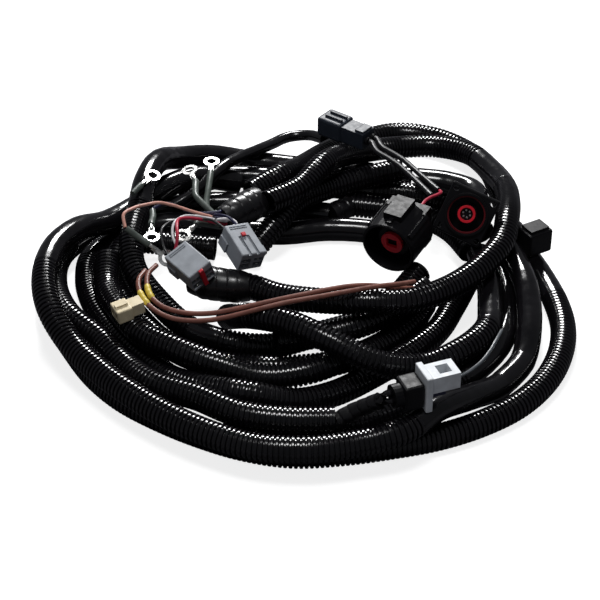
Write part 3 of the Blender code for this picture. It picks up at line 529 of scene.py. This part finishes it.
class Look:
    """A material under construction: a Principled shader and the procedural nodes that feed it."""

    def __init__(self, name, roughness=0.4, metallic=0.0):
        self.material = bpy.data.materials.new(name)
        self.material.use_nodes = True
        self.tree = self.material.node_tree
        self.shader = self.tree.nodes["Principled BSDF"]
        self.shader.inputs["Roughness"].default_value = roughness
        self.shader.inputs["Metallic"].default_value = metallic
        self.coordinates = self.tree.nodes.new("ShaderNodeTexCoord").outputs["Object"]
        self.normal = None

    def node(self, kind, **inputs):
        made = self.tree.nodes.new(kind)
        for name, value in inputs.items():
            made.inputs[name].default_value = value
        return made

    def link(self, source, target):
        self.tree.links.new(source, target)

    def noise(self, scale, detail=3.0, rough=0.55):
        made = self.node("ShaderNodeTexNoise", Scale=scale, Detail=detail, Roughness=rough)
        self.link(self.coordinates, made.inputs["Vector"])
        return made.outputs["Fac"]

    def ramp(self, source, stops):
        made = self.tree.nodes.new("ShaderNodeValToRGB")
        elements = made.color_ramp.elements
        while len(elements) < len(stops):
            elements.new(0.5)
        for element, (place, colour) in zip(elements, stops):
            element.position = place
            element.color = (*colour, 1.0)
        self.link(source, made.inputs["Fac"])
        return made.outputs["Color"]

    def colour(self, source):
        self.link(source, self.shader.inputs["Base Color"])

    def rough(self, source, low, high):
        made = self.node("ShaderNodeMapRange")
        made.inputs["To Min"].default_value = low
        made.inputs["To Max"].default_value = high
        made.inputs["From Min"].default_value = 0.3
        made.inputs["From Max"].default_value = 0.7
        self.link(source, made.inputs["Value"])
        self.link(made.outputs["Result"], self.shader.inputs["Roughness"])

    def edges(self, radius):
        """Rounds every sharp edge in the shading."""
        made = self.tree.nodes.new("ShaderNodeBevel")
        made.samples = 4
        made.inputs["Radius"].default_value = radius
        self.normal = made.outputs["Normal"]

    def bump(self, source, height, strength=1.0):
        made = self.node("ShaderNodeBump", Strength=strength, Distance=height)
        self.link(source, made.inputs["Height"])
        if self.normal is not None:
            self.link(self.normal, made.inputs["Normal"])
        self.normal = made.outputs["Normal"]

    def done(self):
        if self.normal is not None:
            self.link(self.normal, self.shader.inputs["Normal"])
        return self.material


def darker(colour, share):
    return tuple(part * share for part in colour)


def plastic(name, colour, low=0.42, high=0.58, spread=0.85, edge=0.5 * MM, grain=0.015 * MM, shine=0.3):
    """Moulded plastic: faint cloudy colour, a fine mould grain and softened edges."""
    look = Look(name)
    look.shader.inputs["Specular IOR Level"].default_value = shine
    look.colour(look.ramp(look.noise(90), ((0.3, darker(colour, spread)), (0.7, darker(colour, 2 - spread)))))
    look.rough(look.noise(260, 4), low, high)
    if edge:
        look.edges(edge)
    look.bump(look.noise(1400, 2), grain, 0.5)
    return look.done()


def loom_look():
    look = Look("loom_black")
    look.colour(look.ramp(look.noise(60), ((0.3, (0.0025, 0.0022, 0.003)), (0.75, (0.006, 0.0055, 0.007)))))
    look.rough(look.noise(180, 4), 0.13, 0.22)
    look.bump(look.noise(260, 2), 0.02 * MM, 0.2)
    return look.done()


def sleeve_look(name, low=0.1, high=0.22):
    """Smooth glossy tubing and tape, slightly uneven along its length."""
    look = Look(name)
    look.colour(look.ramp(look.noise(45), ((0.3, (0.0025, 0.0022, 0.003)), (0.75, (0.008, 0.0075, 0.009)))))
    look.rough(look.noise(120, 4), low, high)
    look.bump(look.noise(90, 2), 0.2 * MM, 0.25)
    return look.done()


def wire_look(name, colour):
    look = Look(name)
    look.colour(look.ramp(look.noise(150), ((0.3, darker(colour, 0.8)), (0.7, darker(colour, 1.15)))))
    look.rough(look.noise(300, 3), 0.3, 0.45)
    look.shader.inputs["Specular IOR Level"].default_value = 0.4
    look.bump(look.noise(900, 2), 0.015 * MM, 0.4)
    return look.done()


def metal_look():
    look = Look("tinned_metal", metallic=1.0)
    look.colour(look.ramp(look.noise(220, 4), ((0.3, (0.5, 0.5, 0.48)), (0.7, (0.82, 0.82, 0.8)))))
    look.rough(look.noise(400, 4), 0.18, 0.4)
    look.edges(0.2 * MM)
    look.bump(look.noise(800, 3), 0.04 * MM, 0.6)
    return look.done()


LOOM = loom_look()
TUBING = sleeve_look("tubing_black")
TAPE = sleeve_look("tape_black", 0.22, 0.4)
BLACK = plastic("plastic_black", (0.005, 0.0048, 0.006), 0.34, 0.5, shine=0.16)
SLATE = plastic("plastic_slate", (0.02, 0.026, 0.038), 0.36, 0.5, edge=1.2 * MM)
GREY = plastic("plastic_grey", (0.29, 0.31, 0.34), 0.42, 0.56)
PALE = plastic("plastic_pale", (0.74, 0.77, 0.8))
CREAM = plastic("plastic_cream", (0.72, 0.62, 0.42))
RED = plastic("plastic_red", (0.5, 0.012, 0.025))
SEAL_RED = plastic("seal_red", (0.85, 0.015, 0.035), 0.4, 0.55)
DARK_RED = plastic("plastic_dark_red", (0.12, 0.004, 0.008))
NAVY = plastic("plastic_navy", (0.02, 0.022, 0.06))
YELLOW = plastic("tape_yellow", (0.62, 0.47, 0.07), 0.35, 0.5, edge=0)
WIRE_LOOKS = {
    "grey": wire_look("wire_grey_look", (0.09, 0.1, 0.11)),
    "black": wire_look("wire_black_look", (0.012, 0.012, 0.014)),
    "brown": wire_look("wire_brown_look", (0.2, 0.075, 0.055)),
    "pink": wire_look("wire_pink_look", (0.6, 0.3, 0.24)),
    "red": wire_look("wire_red_look", (0.42, 0.02, 0.05)),
    "white": wire_look("wire_white_look", (0.68, 0.66, 0.68)),
    "navy": wire_look("wire_navy_look", (0.02, 0.02, 0.06)),
}
SHRINK = wire_look("shrink_look", (0.075, 0.09, 0.08))
METAL = metal_look()


def make_camera():
    data = bpy.data.cameras.new("camera")
    data.lens = CAMERA_LENS
    data.sensor_width = CAMERA_SENSOR
    data.clip_start = CAMERA_NEAR
    camera = bpy.data.objects.new("camera", data)
    camera.location = CAMERA_PLACE
    camera.rotation_euler = (CAMERA_TILT, 0, 0)
    bpy.context.scene.collection.objects.link(camera)
    bpy.context.scene.camera = camera


def make_lamp(name, place, size, power):
    """A soft rectangular lamp that points at the middle of the floor."""
    data = bpy.data.lights.new(name, "AREA")
    data.shape = "RECTANGLE"
    data.size, data.size_y = size
    data.energy = power
    lamp = bpy.data.objects.new(name, data)
    lamp.location = place
    lamp.rotation_euler = (-Vector(place)).to_track_quat("-Z", "Y").to_euler()
    bpy.context.scene.collection.objects.link(lamp)


def shown_white(tree, dim, colour, glow):
    """A dim diffuse surface that the camera sees as white paper, with its shadows kept."""
    nodes = tree.nodes
    nodes.clear()
    path = nodes.new("ShaderNodeLightPath")
    most = nodes.new("ShaderNodeMath")
    most.operation = "MAXIMUM"
    tree.links.new(path.outputs["Is Camera Ray"], most.inputs[0])
    tree.links.new(path.outputs["Is Transmission Ray"], most.inputs[1])
    plain = nodes.new("ShaderNodeBsdfDiffuse")
    plain.inputs["Color"].default_value = (*dim, 1)
    paper = nodes.new("ShaderNodeBsdfDiffuse")
    paper.inputs["Color"].default_value = (*colour, 1)
    shine = nodes.new("ShaderNodeEmission")
    shine.inputs["Strength"].default_value = glow
    both = nodes.new("ShaderNodeAddShader")
    tree.links.new(paper.outputs[0], both.inputs[0])
    tree.links.new(shine.outputs[0], both.inputs[1])
    mix = nodes.new("ShaderNodeMixShader")
    tree.links.new(most.outputs[0], mix.inputs["Fac"])
    tree.links.new(plain.outputs[0], mix.inputs[1])
    tree.links.new(both.outputs[0], mix.inputs[2])
    output = nodes.new("ShaderNodeOutputMaterial")
    tree.links.new(mix.outputs[0], output.inputs["Surface"])


def make_floor():
    mesh = bpy.data.meshes.new("floor")
    corners = [(x * FLOOR_SIDE, y * FLOOR_SIDE, 0) for x, y in ((-1, -1), (1, -1), (1, 1), (-1, 1))]
    mesh.from_pydata(corners, [], [(0, 1, 2, 3)])
    floor = bpy.data.objects.new("floor", mesh)
    look = bpy.data.materials.new("floor_white")
    look.use_nodes = True
    shown_white(look.node_tree, FLOOR_DIM, FLOOR_PAPER, FLOOR_GLOW)
    mesh.materials.append(look)
    bpy.context.scene.collection.objects.link(floor)


def make_world():
    """A dim blue-white sky that the camera sees as plain white."""
    world = bpy.data.worlds.new("studio")
    bpy.context.scene.world = world
    world.use_nodes = True
    tree = world.node_tree
    tree.nodes.clear()
    path = tree.nodes.new("ShaderNodeLightPath")
    soft = tree.nodes.new("ShaderNodeBackground")
    soft.inputs["Color"].default_value = (*SKY_COLOUR, 1)
    soft.inputs["Strength"].default_value = SKY_STRENGTH
    white = tree.nodes.new("ShaderNodeBackground")
    white.inputs["Color"].default_value = (1, 1, 1, 1)
    mix = tree.nodes.new("ShaderNodeMixShader")
    tree.links.new(path.outputs["Is Camera Ray"], mix.inputs["Fac"])
    tree.links.new(soft.outputs[0], mix.inputs[1])
    tree.links.new(white.outputs[0], mix.inputs[2])
    output = tree.nodes.new("ShaderNodeOutputWorld")
    tree.links.new(mix.outputs[0], output.inputs["Surface"])


def show(name, mesh, looks):
    made = bpy.data.objects.new(name, mesh)
    for look in looks:
        mesh.materials.append(look)
    bpy.context.scene.collection.objects.link(made)
    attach(made, "root")
    return made


def fine_line(corners):
    """Close-set points along a smooth curve through a line's corners, with the run at each."""
    points = smooth_points([tuple(corner) for corner in corners], LINE_STEP)
    run = np.concatenate([[0], np.cumsum(np.linalg.norm(np.diff(points, axis=0), axis=1))])
    return points, run


def read_line(points, run, stops):
    return np.stack([np.interp(stops, run, points[:, axis]) for axis in range(3)], 1)


def tube_mesh(name, centres, radii, bands=None, hollow=0.0):
    """A closed tube with its own radius at every ring and side.

    bands give each ring's material, and hollow is the depth of the bore at both ends.
    """
    count, sides = radii.shape
    along = np.gradient(centres, axis=0)
    along /= np.linalg.norm(along, axis=1)[:, None]
    up = np.array([0, 0, 1.0]) - along[:, 2:3] * along
    up /= np.linalg.norm(up, axis=1)[:, None]
    side = np.cross(along, up)
    angle = np.arange(sides) * 2 * math.pi / sides
    spread = side[:, None, :] * np.cos(angle)[None, :, None] + up[:, None, :] * np.sin(angle)[None, :, None]
    skin = centres[:, None, :] + spread * radii[:, :, None]
    vertices = [skin.reshape(-1, 3)]
    first = np.arange(count - 1)[:, None] * sides + np.arange(sides)[None, :]
    following = np.arange(count - 1)[:, None] * sides + (np.arange(sides)[None, :] + 1) % sides
    quads = np.stack([first, following, following + sides, first + sides], -1).reshape(-1, 4).tolist()
    marks = [] if bands is None else np.repeat(bands[:-1], sides).tolist()
    total = count * sides
    for end, way in ((0, 1), (count - 1, -1)):
        ring = end * sides + np.arange(sides)
        if hollow:
            lip = centres[end] + spread[end] * radii[end][:, None] * BORE_SHARE
            well = lip + along[end] * hollow * way
            for loop in (lip, well):
                vertices.append(loop)
                new = total + np.arange(sides)
                quads += np.stack([ring, np.roll(ring, -1), np.roll(new, -1), new], -1).tolist()
                ring = new
                total += sides
        quads.append(ring.tolist())
    mesh = bpy.data.meshes.new(name)
    mesh.from_pydata(np.vstack(vertices).tolist(), [], quads)
    if marks:
        marks += [marks[0]] * (len(quads) - len(marks))
        mesh.polygons.foreach_set("material_index", marks)
    mesh.update()
    mesh.shade_smooth()
    shape = bmesh.new()
    shape.from_mesh(mesh)
    bmesh.ops.recalc_face_normals(shape, faces=shape.faces)
    shape.to_mesh(mesh)
    shape.free()
    mesh.set_sharp_from_angle(angle=SHARP_ANGLE)
    return mesh


def loom_rings(length, radius, smooth, seed):
    """Stops along a loom with the radius at each ring and side: ribs, or lapped tubing in smooth spans."""
    random = np.random.default_rng(seed)
    stops, offsets, bands = [], [], []
    place = 0.0
    while place < length - PITCH:
        if any(low * length <= place < high * length for low, high in smooth):
            stops.append(place)
            offsets.append(0.0)
            bands.append(1)
            place += SMOOTH_STEP
        else:
            for share, drop in RIB_STOPS:
                stops.append(place + share * PITCH)
                offsets.append(drop)
                bands.append(0)
            place += PITCH
    stops.append(length)
    offsets.append(0.0)
    bands.append(bands[-1])
    stops, offsets, bands = np.array(stops), np.array(offsets), np.array(bands)
    angle = np.arange(SIDES) / SIDES
    places = np.linspace(0, length, SWELL_POINTS)
    swell = 1 + SWELL * np.interp(stops, places, random.uniform(-1, 1, SWELL_POINTS))
    base = radius * np.minimum(swell, 1.0)
    depth = np.where(bands == 0, RIB_DEPTH * offsets * radius / LOOM_RADIUS, 0)
    radii = np.repeat((base + depth)[:, None], SIDES, 1)
    lap = (stops[:, None] / LAP + angle[None, :]) % 1
    radii -= np.where(bands == 1, 1, 0)[:, None] * (LAP_SINK + LAP_RISE * lap)
    return stops, radii, bands


def make_loom(name, corners, radius, seed):
    points, run = fine_line(corners)
    points[:, 2] = np.maximum(points[:, 2], radius)
    stops, radii, bands = loom_rings(run[-1], radius, SMOOTH.get(name, ()), seed)
    mesh = tube_mesh(f"{name}_tube", read_line(points, run, stops), radii, bands, BORE_DEPTH)
    piece = show(f"{name}_tube", mesh, [LOOM, TUBING])
    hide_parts(name)
    return piece


def make_band(name, points, run, radius, start, length, look, slot):
    """A few turns of tape wound on a wire, from start along its run."""
    stops = np.linspace(start, start + length, BAND_RINGS)
    bulge = 0.5 * MM + 0.15 * MM * np.sin(stops / length * BAND_WAVES)
    bulge[0] = bulge[-1] = 0.05 * MM
    radii = np.repeat((radius + bulge)[:, None], BAND_SIDES, 1)
    piece = show(name, tube_mesh(name, read_line(points, run, stops), radii), [look])
    return piece


def make_wire(name, corners, radius, look, sides=12, wobble=0.0, seed=1, node=True, bands=()):
    points, run = fine_line(corners)
    stops = np.linspace(0, run[-1], max(4, int(run[-1] / (1.5 * MM))))
    random = np.random.default_rng(seed)
    change = np.interp(stops, np.linspace(0, run[-1], 9), random.uniform(-wobble, wobble, 9))
    radii = np.repeat((radius * (1 + change))[:, None], sides, 1)
    piece = show(f"{name}_line", tube_mesh(f"{name}_line", read_line(points, run, stops), radii), [look])
    if node:
        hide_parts(name)
    if run[-1] > max(CORD_LEAST, CORD_RADII * radius):
        wound = [make_band(f"{name}_band_{index}", points, run, radius, *band)
                 for index, band in enumerate(bands)]
    return piece


def make_wrap(name, corners, radius, swell, seed, node=True):
    """A taped join: lapped turns of tape over the looms that end in it, with a few wrinkles."""
    points, run = fine_line(corners)
    length = run[-1]
    stops = np.linspace(0, length, max(8, int(length / WRAP_STEP)))
    random = np.random.default_rng(seed)
    angle = np.arange(WRAP_SIDES) / WRAP_SIDES
    body = radius * np.interp(stops / length, *swell)
    lap = (stops[:, None] / WRAP_LAP + angle[None, :]) % 1
    wrinkle = np.zeros((len(stops), WRAP_SIDES))
    for turns in (2, 3, 5):
        phase, reach = random.uniform(0, 1), random.uniform(4, 9) * MM
        along = stops[:, None] / reach * 0.2 + phase
        wrinkle += np.sin(2 * math.pi * (turns * angle[None, :] + along)) / turns
    radii = body[:, None] - (0.1 + 0.55 * lap ** 3) * MM - 0.18 * MM * (1 + wrinkle)
    piece = show(f"{name}_tape", tube_mesh(f"{name}_tape", read_line(points, run, stops), radii), [TAPE])
    if node:
        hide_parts(name)
    return piece


def dress_looms(corners):
    for seed, (name, line) in enumerate(corners.items()):
        if name == "wrap_front":
            make_wrap(name, line, WRAP_RADIUS, FRONT_SWELL, seed)
        elif name == "wrap_rear":
            make_wrap(name, line, WRAP_RADIUS, REAR_SWELL, seed)
        elif name == "lead_thin":
            make_loom(name, line, THIN_LOOM_RADIUS, seed)
        else:
            make_loom(name, line, LOOM_RADIUS, seed)


# The frame of each plug: its place, the way its X axis points and, where it leans, its up
FRAMES = {
    "plug_a": frame_at(at(19, 162, 57.8), (-0.79, 0.61, 0.0)),
    "socket": frame_at(at(66, -13.5, 48.6), (-0.5, -0.86, -0.12)),
    "receptacle": frame_at(at(128, 18, 58.8), (-0.12, -0.87, 0.45), (0.35, 0, 1)),
    "plug_d": frame_at(at(-73, -61.6, 55.7), (0.62, -0.78, -0.06), (-0.3, -0.15, 0.94)),
    "plug_e": frame_at(at(-37, -42, 56), (0.46, -0.85, -0.27), (0.2, 0, 1)),
    "plug_f": frame_at(at(81, -191, 53.1), (0.93, 0.36, 0)),
}


def dress_leads(corners):
    for index, (across, route) in enumerate(LEAD_ROUTES):
        head = leaving(FRAMES["plug_a"], (PLUG_A_TAIL, across * PLUG_A_LEAD_SPREAD, 0), -1)
        line = line_through(head, route, [], WIRE_STEP)
        make_wire(f"lead_a_{index + 1}", line, LEAD_RADIUS, WIRE_LOOKS["black"])
    red_end = leaving(FRAMES["socket"], (SOCKET_REAR, 4 * MM, 6 * MM), -1)[::-1]
    line = line_through([], RED_ROUTE, red_end, RED_STEP)
    make_wire("wire_red", line, FINE_WIRE_RADIUS, WIRE_LOOKS["red"])
    feed = line_through(leaving(FRAMES["receptacle"], RECEPTACLE_REAR, -1), FEED_ROUTE, [], FEED_STEP)
    make_loom("loom_feed", feed, FEED_RADIUS, seed=91)
    head = leaving(FRAMES["plug_d"], BOX_PLUG_REAR, -1)
    line = line_through(head, PLUG_D_ROUTE, entering(corners, -6, -1), WIRE_STEP)
    make_wire("wire_plug_d", line, FINE_WIRE_RADIUS, WIRE_LOOKS["red"])
    head = leaving(FRAMES["plug_e"], BOX_PLUG_REAR, -1)
    line = line_through(head, PLUG_E_ROUTE, entering(corners, -6, 4), WIRE_STEP)
    make_wire("wire_plug_e", line, FINE_WIRE_RADIUS, WIRE_LOOKS["white"])
    head = leaving(FRAMES["plug_f"], (COLLAR_REACH, 0, 3 * MM), 1)
    line = line_through(head, CABLE_ROUTE, [], WIRE_STEP)
    make_wire("cable_f", line, FINE_WIRE_RADIUS, WIRE_LOOKS["grey"])


def dress_wires(corners):
    for name, (route, start) in LAID_WIRES.items():
        line = lay(route, WIRE_RADIUS, WIRE_STEP, WIRE_STIFFNESS, start=start * MM)
        tape = (BAND_START, BAND_LENGTH, YELLOW, "brown_wire")
        make_wire(name, line, WIRE_RADIUS, WIRE_LOOKS["brown"], bands=(tape,))
    for name, (radius, colour, route, entry) in WIRES.items():
        line = line_through([], route, entering(corners, *entry), WIRE_STEP)
        make_wire(name, line, radius, WIRE_LOOKS[colour])
    branch = corners["loom_branch"]
    way = unit(branch[-1] - branch[-2])
    head = [tuple(branch[-1] + way * END_GAP), tuple(branch[-1] + way * STRAIGHT)]
    line = line_through(head, TAIL_ROUTE, [], WIRE_STEP)
    make_wrap("wrap_branch", line, TAIL_RADIUS, BRANCH_SWELL, seed=77)


def dress_rings(corners):
    for name, (place, along, sleeve, entry) in RINGS.items():
        spot = frame_at(at(*place), along, (0, -0.5, 0.85))
        high = BARREL_RADIUS * 0.6
        barrel_end = -EYE_RADIUS - NECK_LENGTH - BARREL_LENGTH
        tail = entering(corners, *entry) if entry else []
        line = line_through(leaving(spot, (barrel_end, 0, high), -1), sleeve, tail, SLEEVE_STEP)
        make_wire(f"{name}_sleeve", line, SLEEVE_RADIUS, SHRINK,
                  sides=14, wobble=0.05, seed=5)


def block(name, frame, size, centre, look, softness=0.4 * MM):
    """A small moulded block with rounded edges, placed in the frame of a plug."""
    shape = bmesh.new()
    bmesh.ops.create_cube(shape, size=1)
    bmesh.ops.scale(shape, vec=size, verts=shape.verts)
    bmesh.ops.bevel(shape, geom=shape.edges[:], offset=softness, segments=2, profile=0.5, affect="EDGES")
    mesh = bpy.data.meshes.new(name)
    shape.to_mesh(mesh)
    shape.free()
    mesh.transform(frame @ Matrix.Translation(centre))
    piece = show(name, mesh, [look])
    return piece


def drum(name, frame, radius, hole, low, high, look, sides=40):
    """A round washer along the X axis of a plug's frame."""
    shape = bmesh.new()
    turns = [index * 2 * math.pi / sides for index in range(sides)]
    loops = []
    for place, reach in ((low, hole), (low, radius), (high, radius), (high, hole)):
        loops.append([shape.verts.new((place, reach * math.cos(turn), reach * math.sin(turn)))
                      for turn in turns])
    for first, second in zip(loops, loops[1:] + loops[:1]):
        for index in range(sides):
            after = (index + 1) % sides
            shape.faces.new((first[index], first[after], second[after], second[index]))
    bmesh.ops.recalc_face_normals(shape, faces=shape.faces)
    mesh = bpy.data.meshes.new(name)
    shape.to_mesh(mesh)
    shape.free()
    mesh.transform(frame)
    piece = show(name, mesh, [look])
    return piece


def dress_box_sockets(name):
    """Black plates of painted shade deep in the two sockets of a grey plug, with grey webs and metal
    contacts.
    """
    plug = FRAMES[name]
    width = BOX_SLOT_WIDTH - SLOT_FILL_PLAY
    high = BOX_SLOT_HEIGHT - SLOT_FILL_PLAY
    shade_plate = (3.4 * MM, width, high)
    web = (4.6 * MM, width, 1.5 * MM)
    pin = (6 * MM, 1.8 * MM, 0.7 * MM)
    for index, side in enumerate((-1, 1)):
        across = side * BOX_SLOT_SPREAD
        spot = (-7 * MM, across, -BOX_SLOT_DROP)
        # A black plate at the bottom of the socket: painted shade in the recess of the grey plug
        block(f"{name}_lining_{index}", plug, shade_plate, spot, BLACK, 0.2 * MM)
        spot = (-3 * MM, across, -BOX_SLOT_DROP)
        block(f"{name}_web_{index}", plug, web, spot, GREY, 0.2 * MM)
        for row, layer in enumerate((-1, 1)):
            spot = (-3.6 * MM, across, layer * high * 0.27 - BOX_SLOT_DROP)
            block(f"{name}_contact_{index}_{row}", plug, pin, spot, METAL, 0.15 * MM)


def dress_box_plugs():
    """The socket fillings of both grey plugs, with black plates of painted shade, and the mouldings on their
    tops, with black strips of painted shade on plug E's groove floors.
    """
    for name in ("plug_d", "plug_e"):
        dress_box_sockets(name)
    plug = FRAMES["plug_e"]
    top = BOX_PLUG_HEIGHT / 2
    # Black strips on the floors of the grooves in plug E's grey top: painted shade in the grooves
    shade_strip = (BOX_GROOVE_LENGTH - 1 * MM, 2.1 * MM, 1.2 * MM)
    for index, side in enumerate((-1, 1)):
        spot = (-BOX_GROOVE_LENGTH / 2 - 0.5 * MM, side * BOX_GROOVE_SPREAD, top - 2.3 * MM)
        block(f"plug_e_groove_shade_{index}", plug, shade_strip, spot, BLACK, 0.2 * MM)
    lug = (7 * MM, 1.6 * MM, 5 * MM)
    spot = (-5 * MM, BOX_PLUG_WIDTH / 2 + 0.7 * MM, top - 4 * MM)
    block("plug_e_lug", plug, lug, spot, GREY, 0.5 * MM)
    ridge = (0.8 * MM, BOX_PLUG_WIDTH * 0.7, 0.7 * MM)
    for name in ("plug_d", "plug_e"):
        for index, place in enumerate(BOX_RIDGES):
            spot = (-BOX_PLUG_LENGTH * place, 0, top + 0.2 * MM)
            block(f"{name}_ridge_{index}", FRAMES[name], ridge, spot, GREY, 0.25 * MM)


def dress_round_plugs():
    """The lip of the socket, and the seal and contacts of the receptacle."""
    lip = SOCKET_RADIUS - 0.4 * MM
    drum("socket_lip", FRAMES["socket"], lip, lip - 1 * MM, 0, 0.5 * MM, BLACK)
    plug = FRAMES["receptacle"]
    outer = RECEPTACLE_RADIUS - RECEPTACLE_WALL - 0.2 * MM
    seal_from, seal_to = RECEPTACLE_MOUTH - 5 * MM, RECEPTACLE_MOUTH - 1.6 * MM
    drum("receptacle_seal", plug, outer, outer - SEAL_THICK, seal_from, seal_to, DARK_RED, 48)
    front = RECEPTACLE_MOUTH - RECEPTACLE_DEPTH + GAP + RECEPTACLE_CORE_LENGTH
    pin = (1 * MM, 1.4 * MM, 1.4 * MM)
    for index in range(CONTACT_COUNT):
        turn = index * 2 * math.pi / CONTACT_COUNT
        spot = (front + 0.2 * MM, CONTACT_CIRCLE * math.cos(turn), CONTACT_CIRCLE * math.sin(turn))
        block(f"receptacle_contact_{index}", plug, pin, spot, METAL, 0.2 * MM)


def dress_extra_wires(corners):
    """The fine wires that run from the grey plugs into the rear wrap."""
    for name, (plug, (across, high), route, entry, colour) in EXTRA_WIRES.items():
        head = leaving(FRAMES[plug], (-BOX_PLUG_LENGTH, across * MM, high * MM), -1)
        line = line_through(head, route, entering(corners, *entry), WIRE_STEP)
        make_wire(name, line, EXTRA_WIRE_RADIUS, WIRE_LOOKS[colour], node=False)


def dress_splice(corners):
    """The taped splice behind the coil, between the outer and the rear loom."""
    first, second = corners["loom_outer"][0], corners["loom_rear"][0]
    way = unit(second - first)
    splice = [tuple(first + way * END_GAP), tuple((first + second) / 2), tuple(second - way * END_GAP)]
    make_wrap("outer_splice", splice, LOOM_RADIUS - 0.3 * MM, SPLICE_SWELL, seed=31, node=False)


def dress_tail():
    """The short wires between the branch's taped tail and the black plug."""
    tail = np.array(TAIL_ROUTE[-1]) * MM
    way = unit(tail - np.array(TAIL_ROUTE[-2]) * MM)
    for index, (across, high) in enumerate(TAIL_WIRES):
        side = np.array([-way[1], way[0], 0]) * across * MM + np.array([0, 0, high * MM])
        start = [tuple(tail + side * 0.8 - way * 2 * MM), tuple(tail + side + way * 1.5 * MM)]
        rear = (-PLUG_F_LENGTH - 6 * MM, -across * MM, high * MM)
        line = line_through(start, (), leaving(FRAMES["plug_f"], rear, -1)[::-1], TAIL_WIRE_STEP)
        make_wire(f"tail_wire_{index}", line, TAIL_WIRE_RADIUS, TUBING, node=False)


def dress_nodes():
    """Gives each rigid piece that keeps its own shape its material."""
    looks = {
        "plug_a_housing": SLATE, "plug_a_seal": BLACK,
        "socket_housing": BLACK, "socket_core": BLACK, "socket_ring": SEAL_RED,
        "receptacle_housing": BLACK, "receptacle_core": BLACK, "receptacle_ring": SEAL_RED,
        "plug_d_housing": GREY, "plug_d_lock": RED,
        "plug_e_housing": GREY, "plug_e_lock": RED,
        "plug_f_housing": BLACK, "plug_f_collar": PALE, "plug_f_tongue": NAVY,
        "cap_g_housing": BLACK, "plug_h_housing": CREAM,
    }
    for name in RINGS:
        looks[f"{name}_terminal"] = METAL
    for name, look in looks.items():
        node = frame["nodes"][name]
        for slot in node.material_slots:
            slot.material = look
        if not node.material_slots:
            node.data.materials.append(look)


make_camera()
CORNERS = lay_looms()
dress_looms(CORNERS)
dress_leads(CORNERS)
dress_wires(CORNERS)
dress_rings(CORNERS)
dress_nodes()
dress_box_plugs()
dress_round_plugs()
dress_extra_wires(CORNERS)
dress_splice(CORNERS)
dress_tail()
make_floor()
make_world()
for lamp_name, lamp_place, lamp_size, lamp_power in LAMPS:
    make_lamp(lamp_name, lamp_place, lamp_size, lamp_power)
bpy.context.scene.view_settings.view_transform = "Standard"
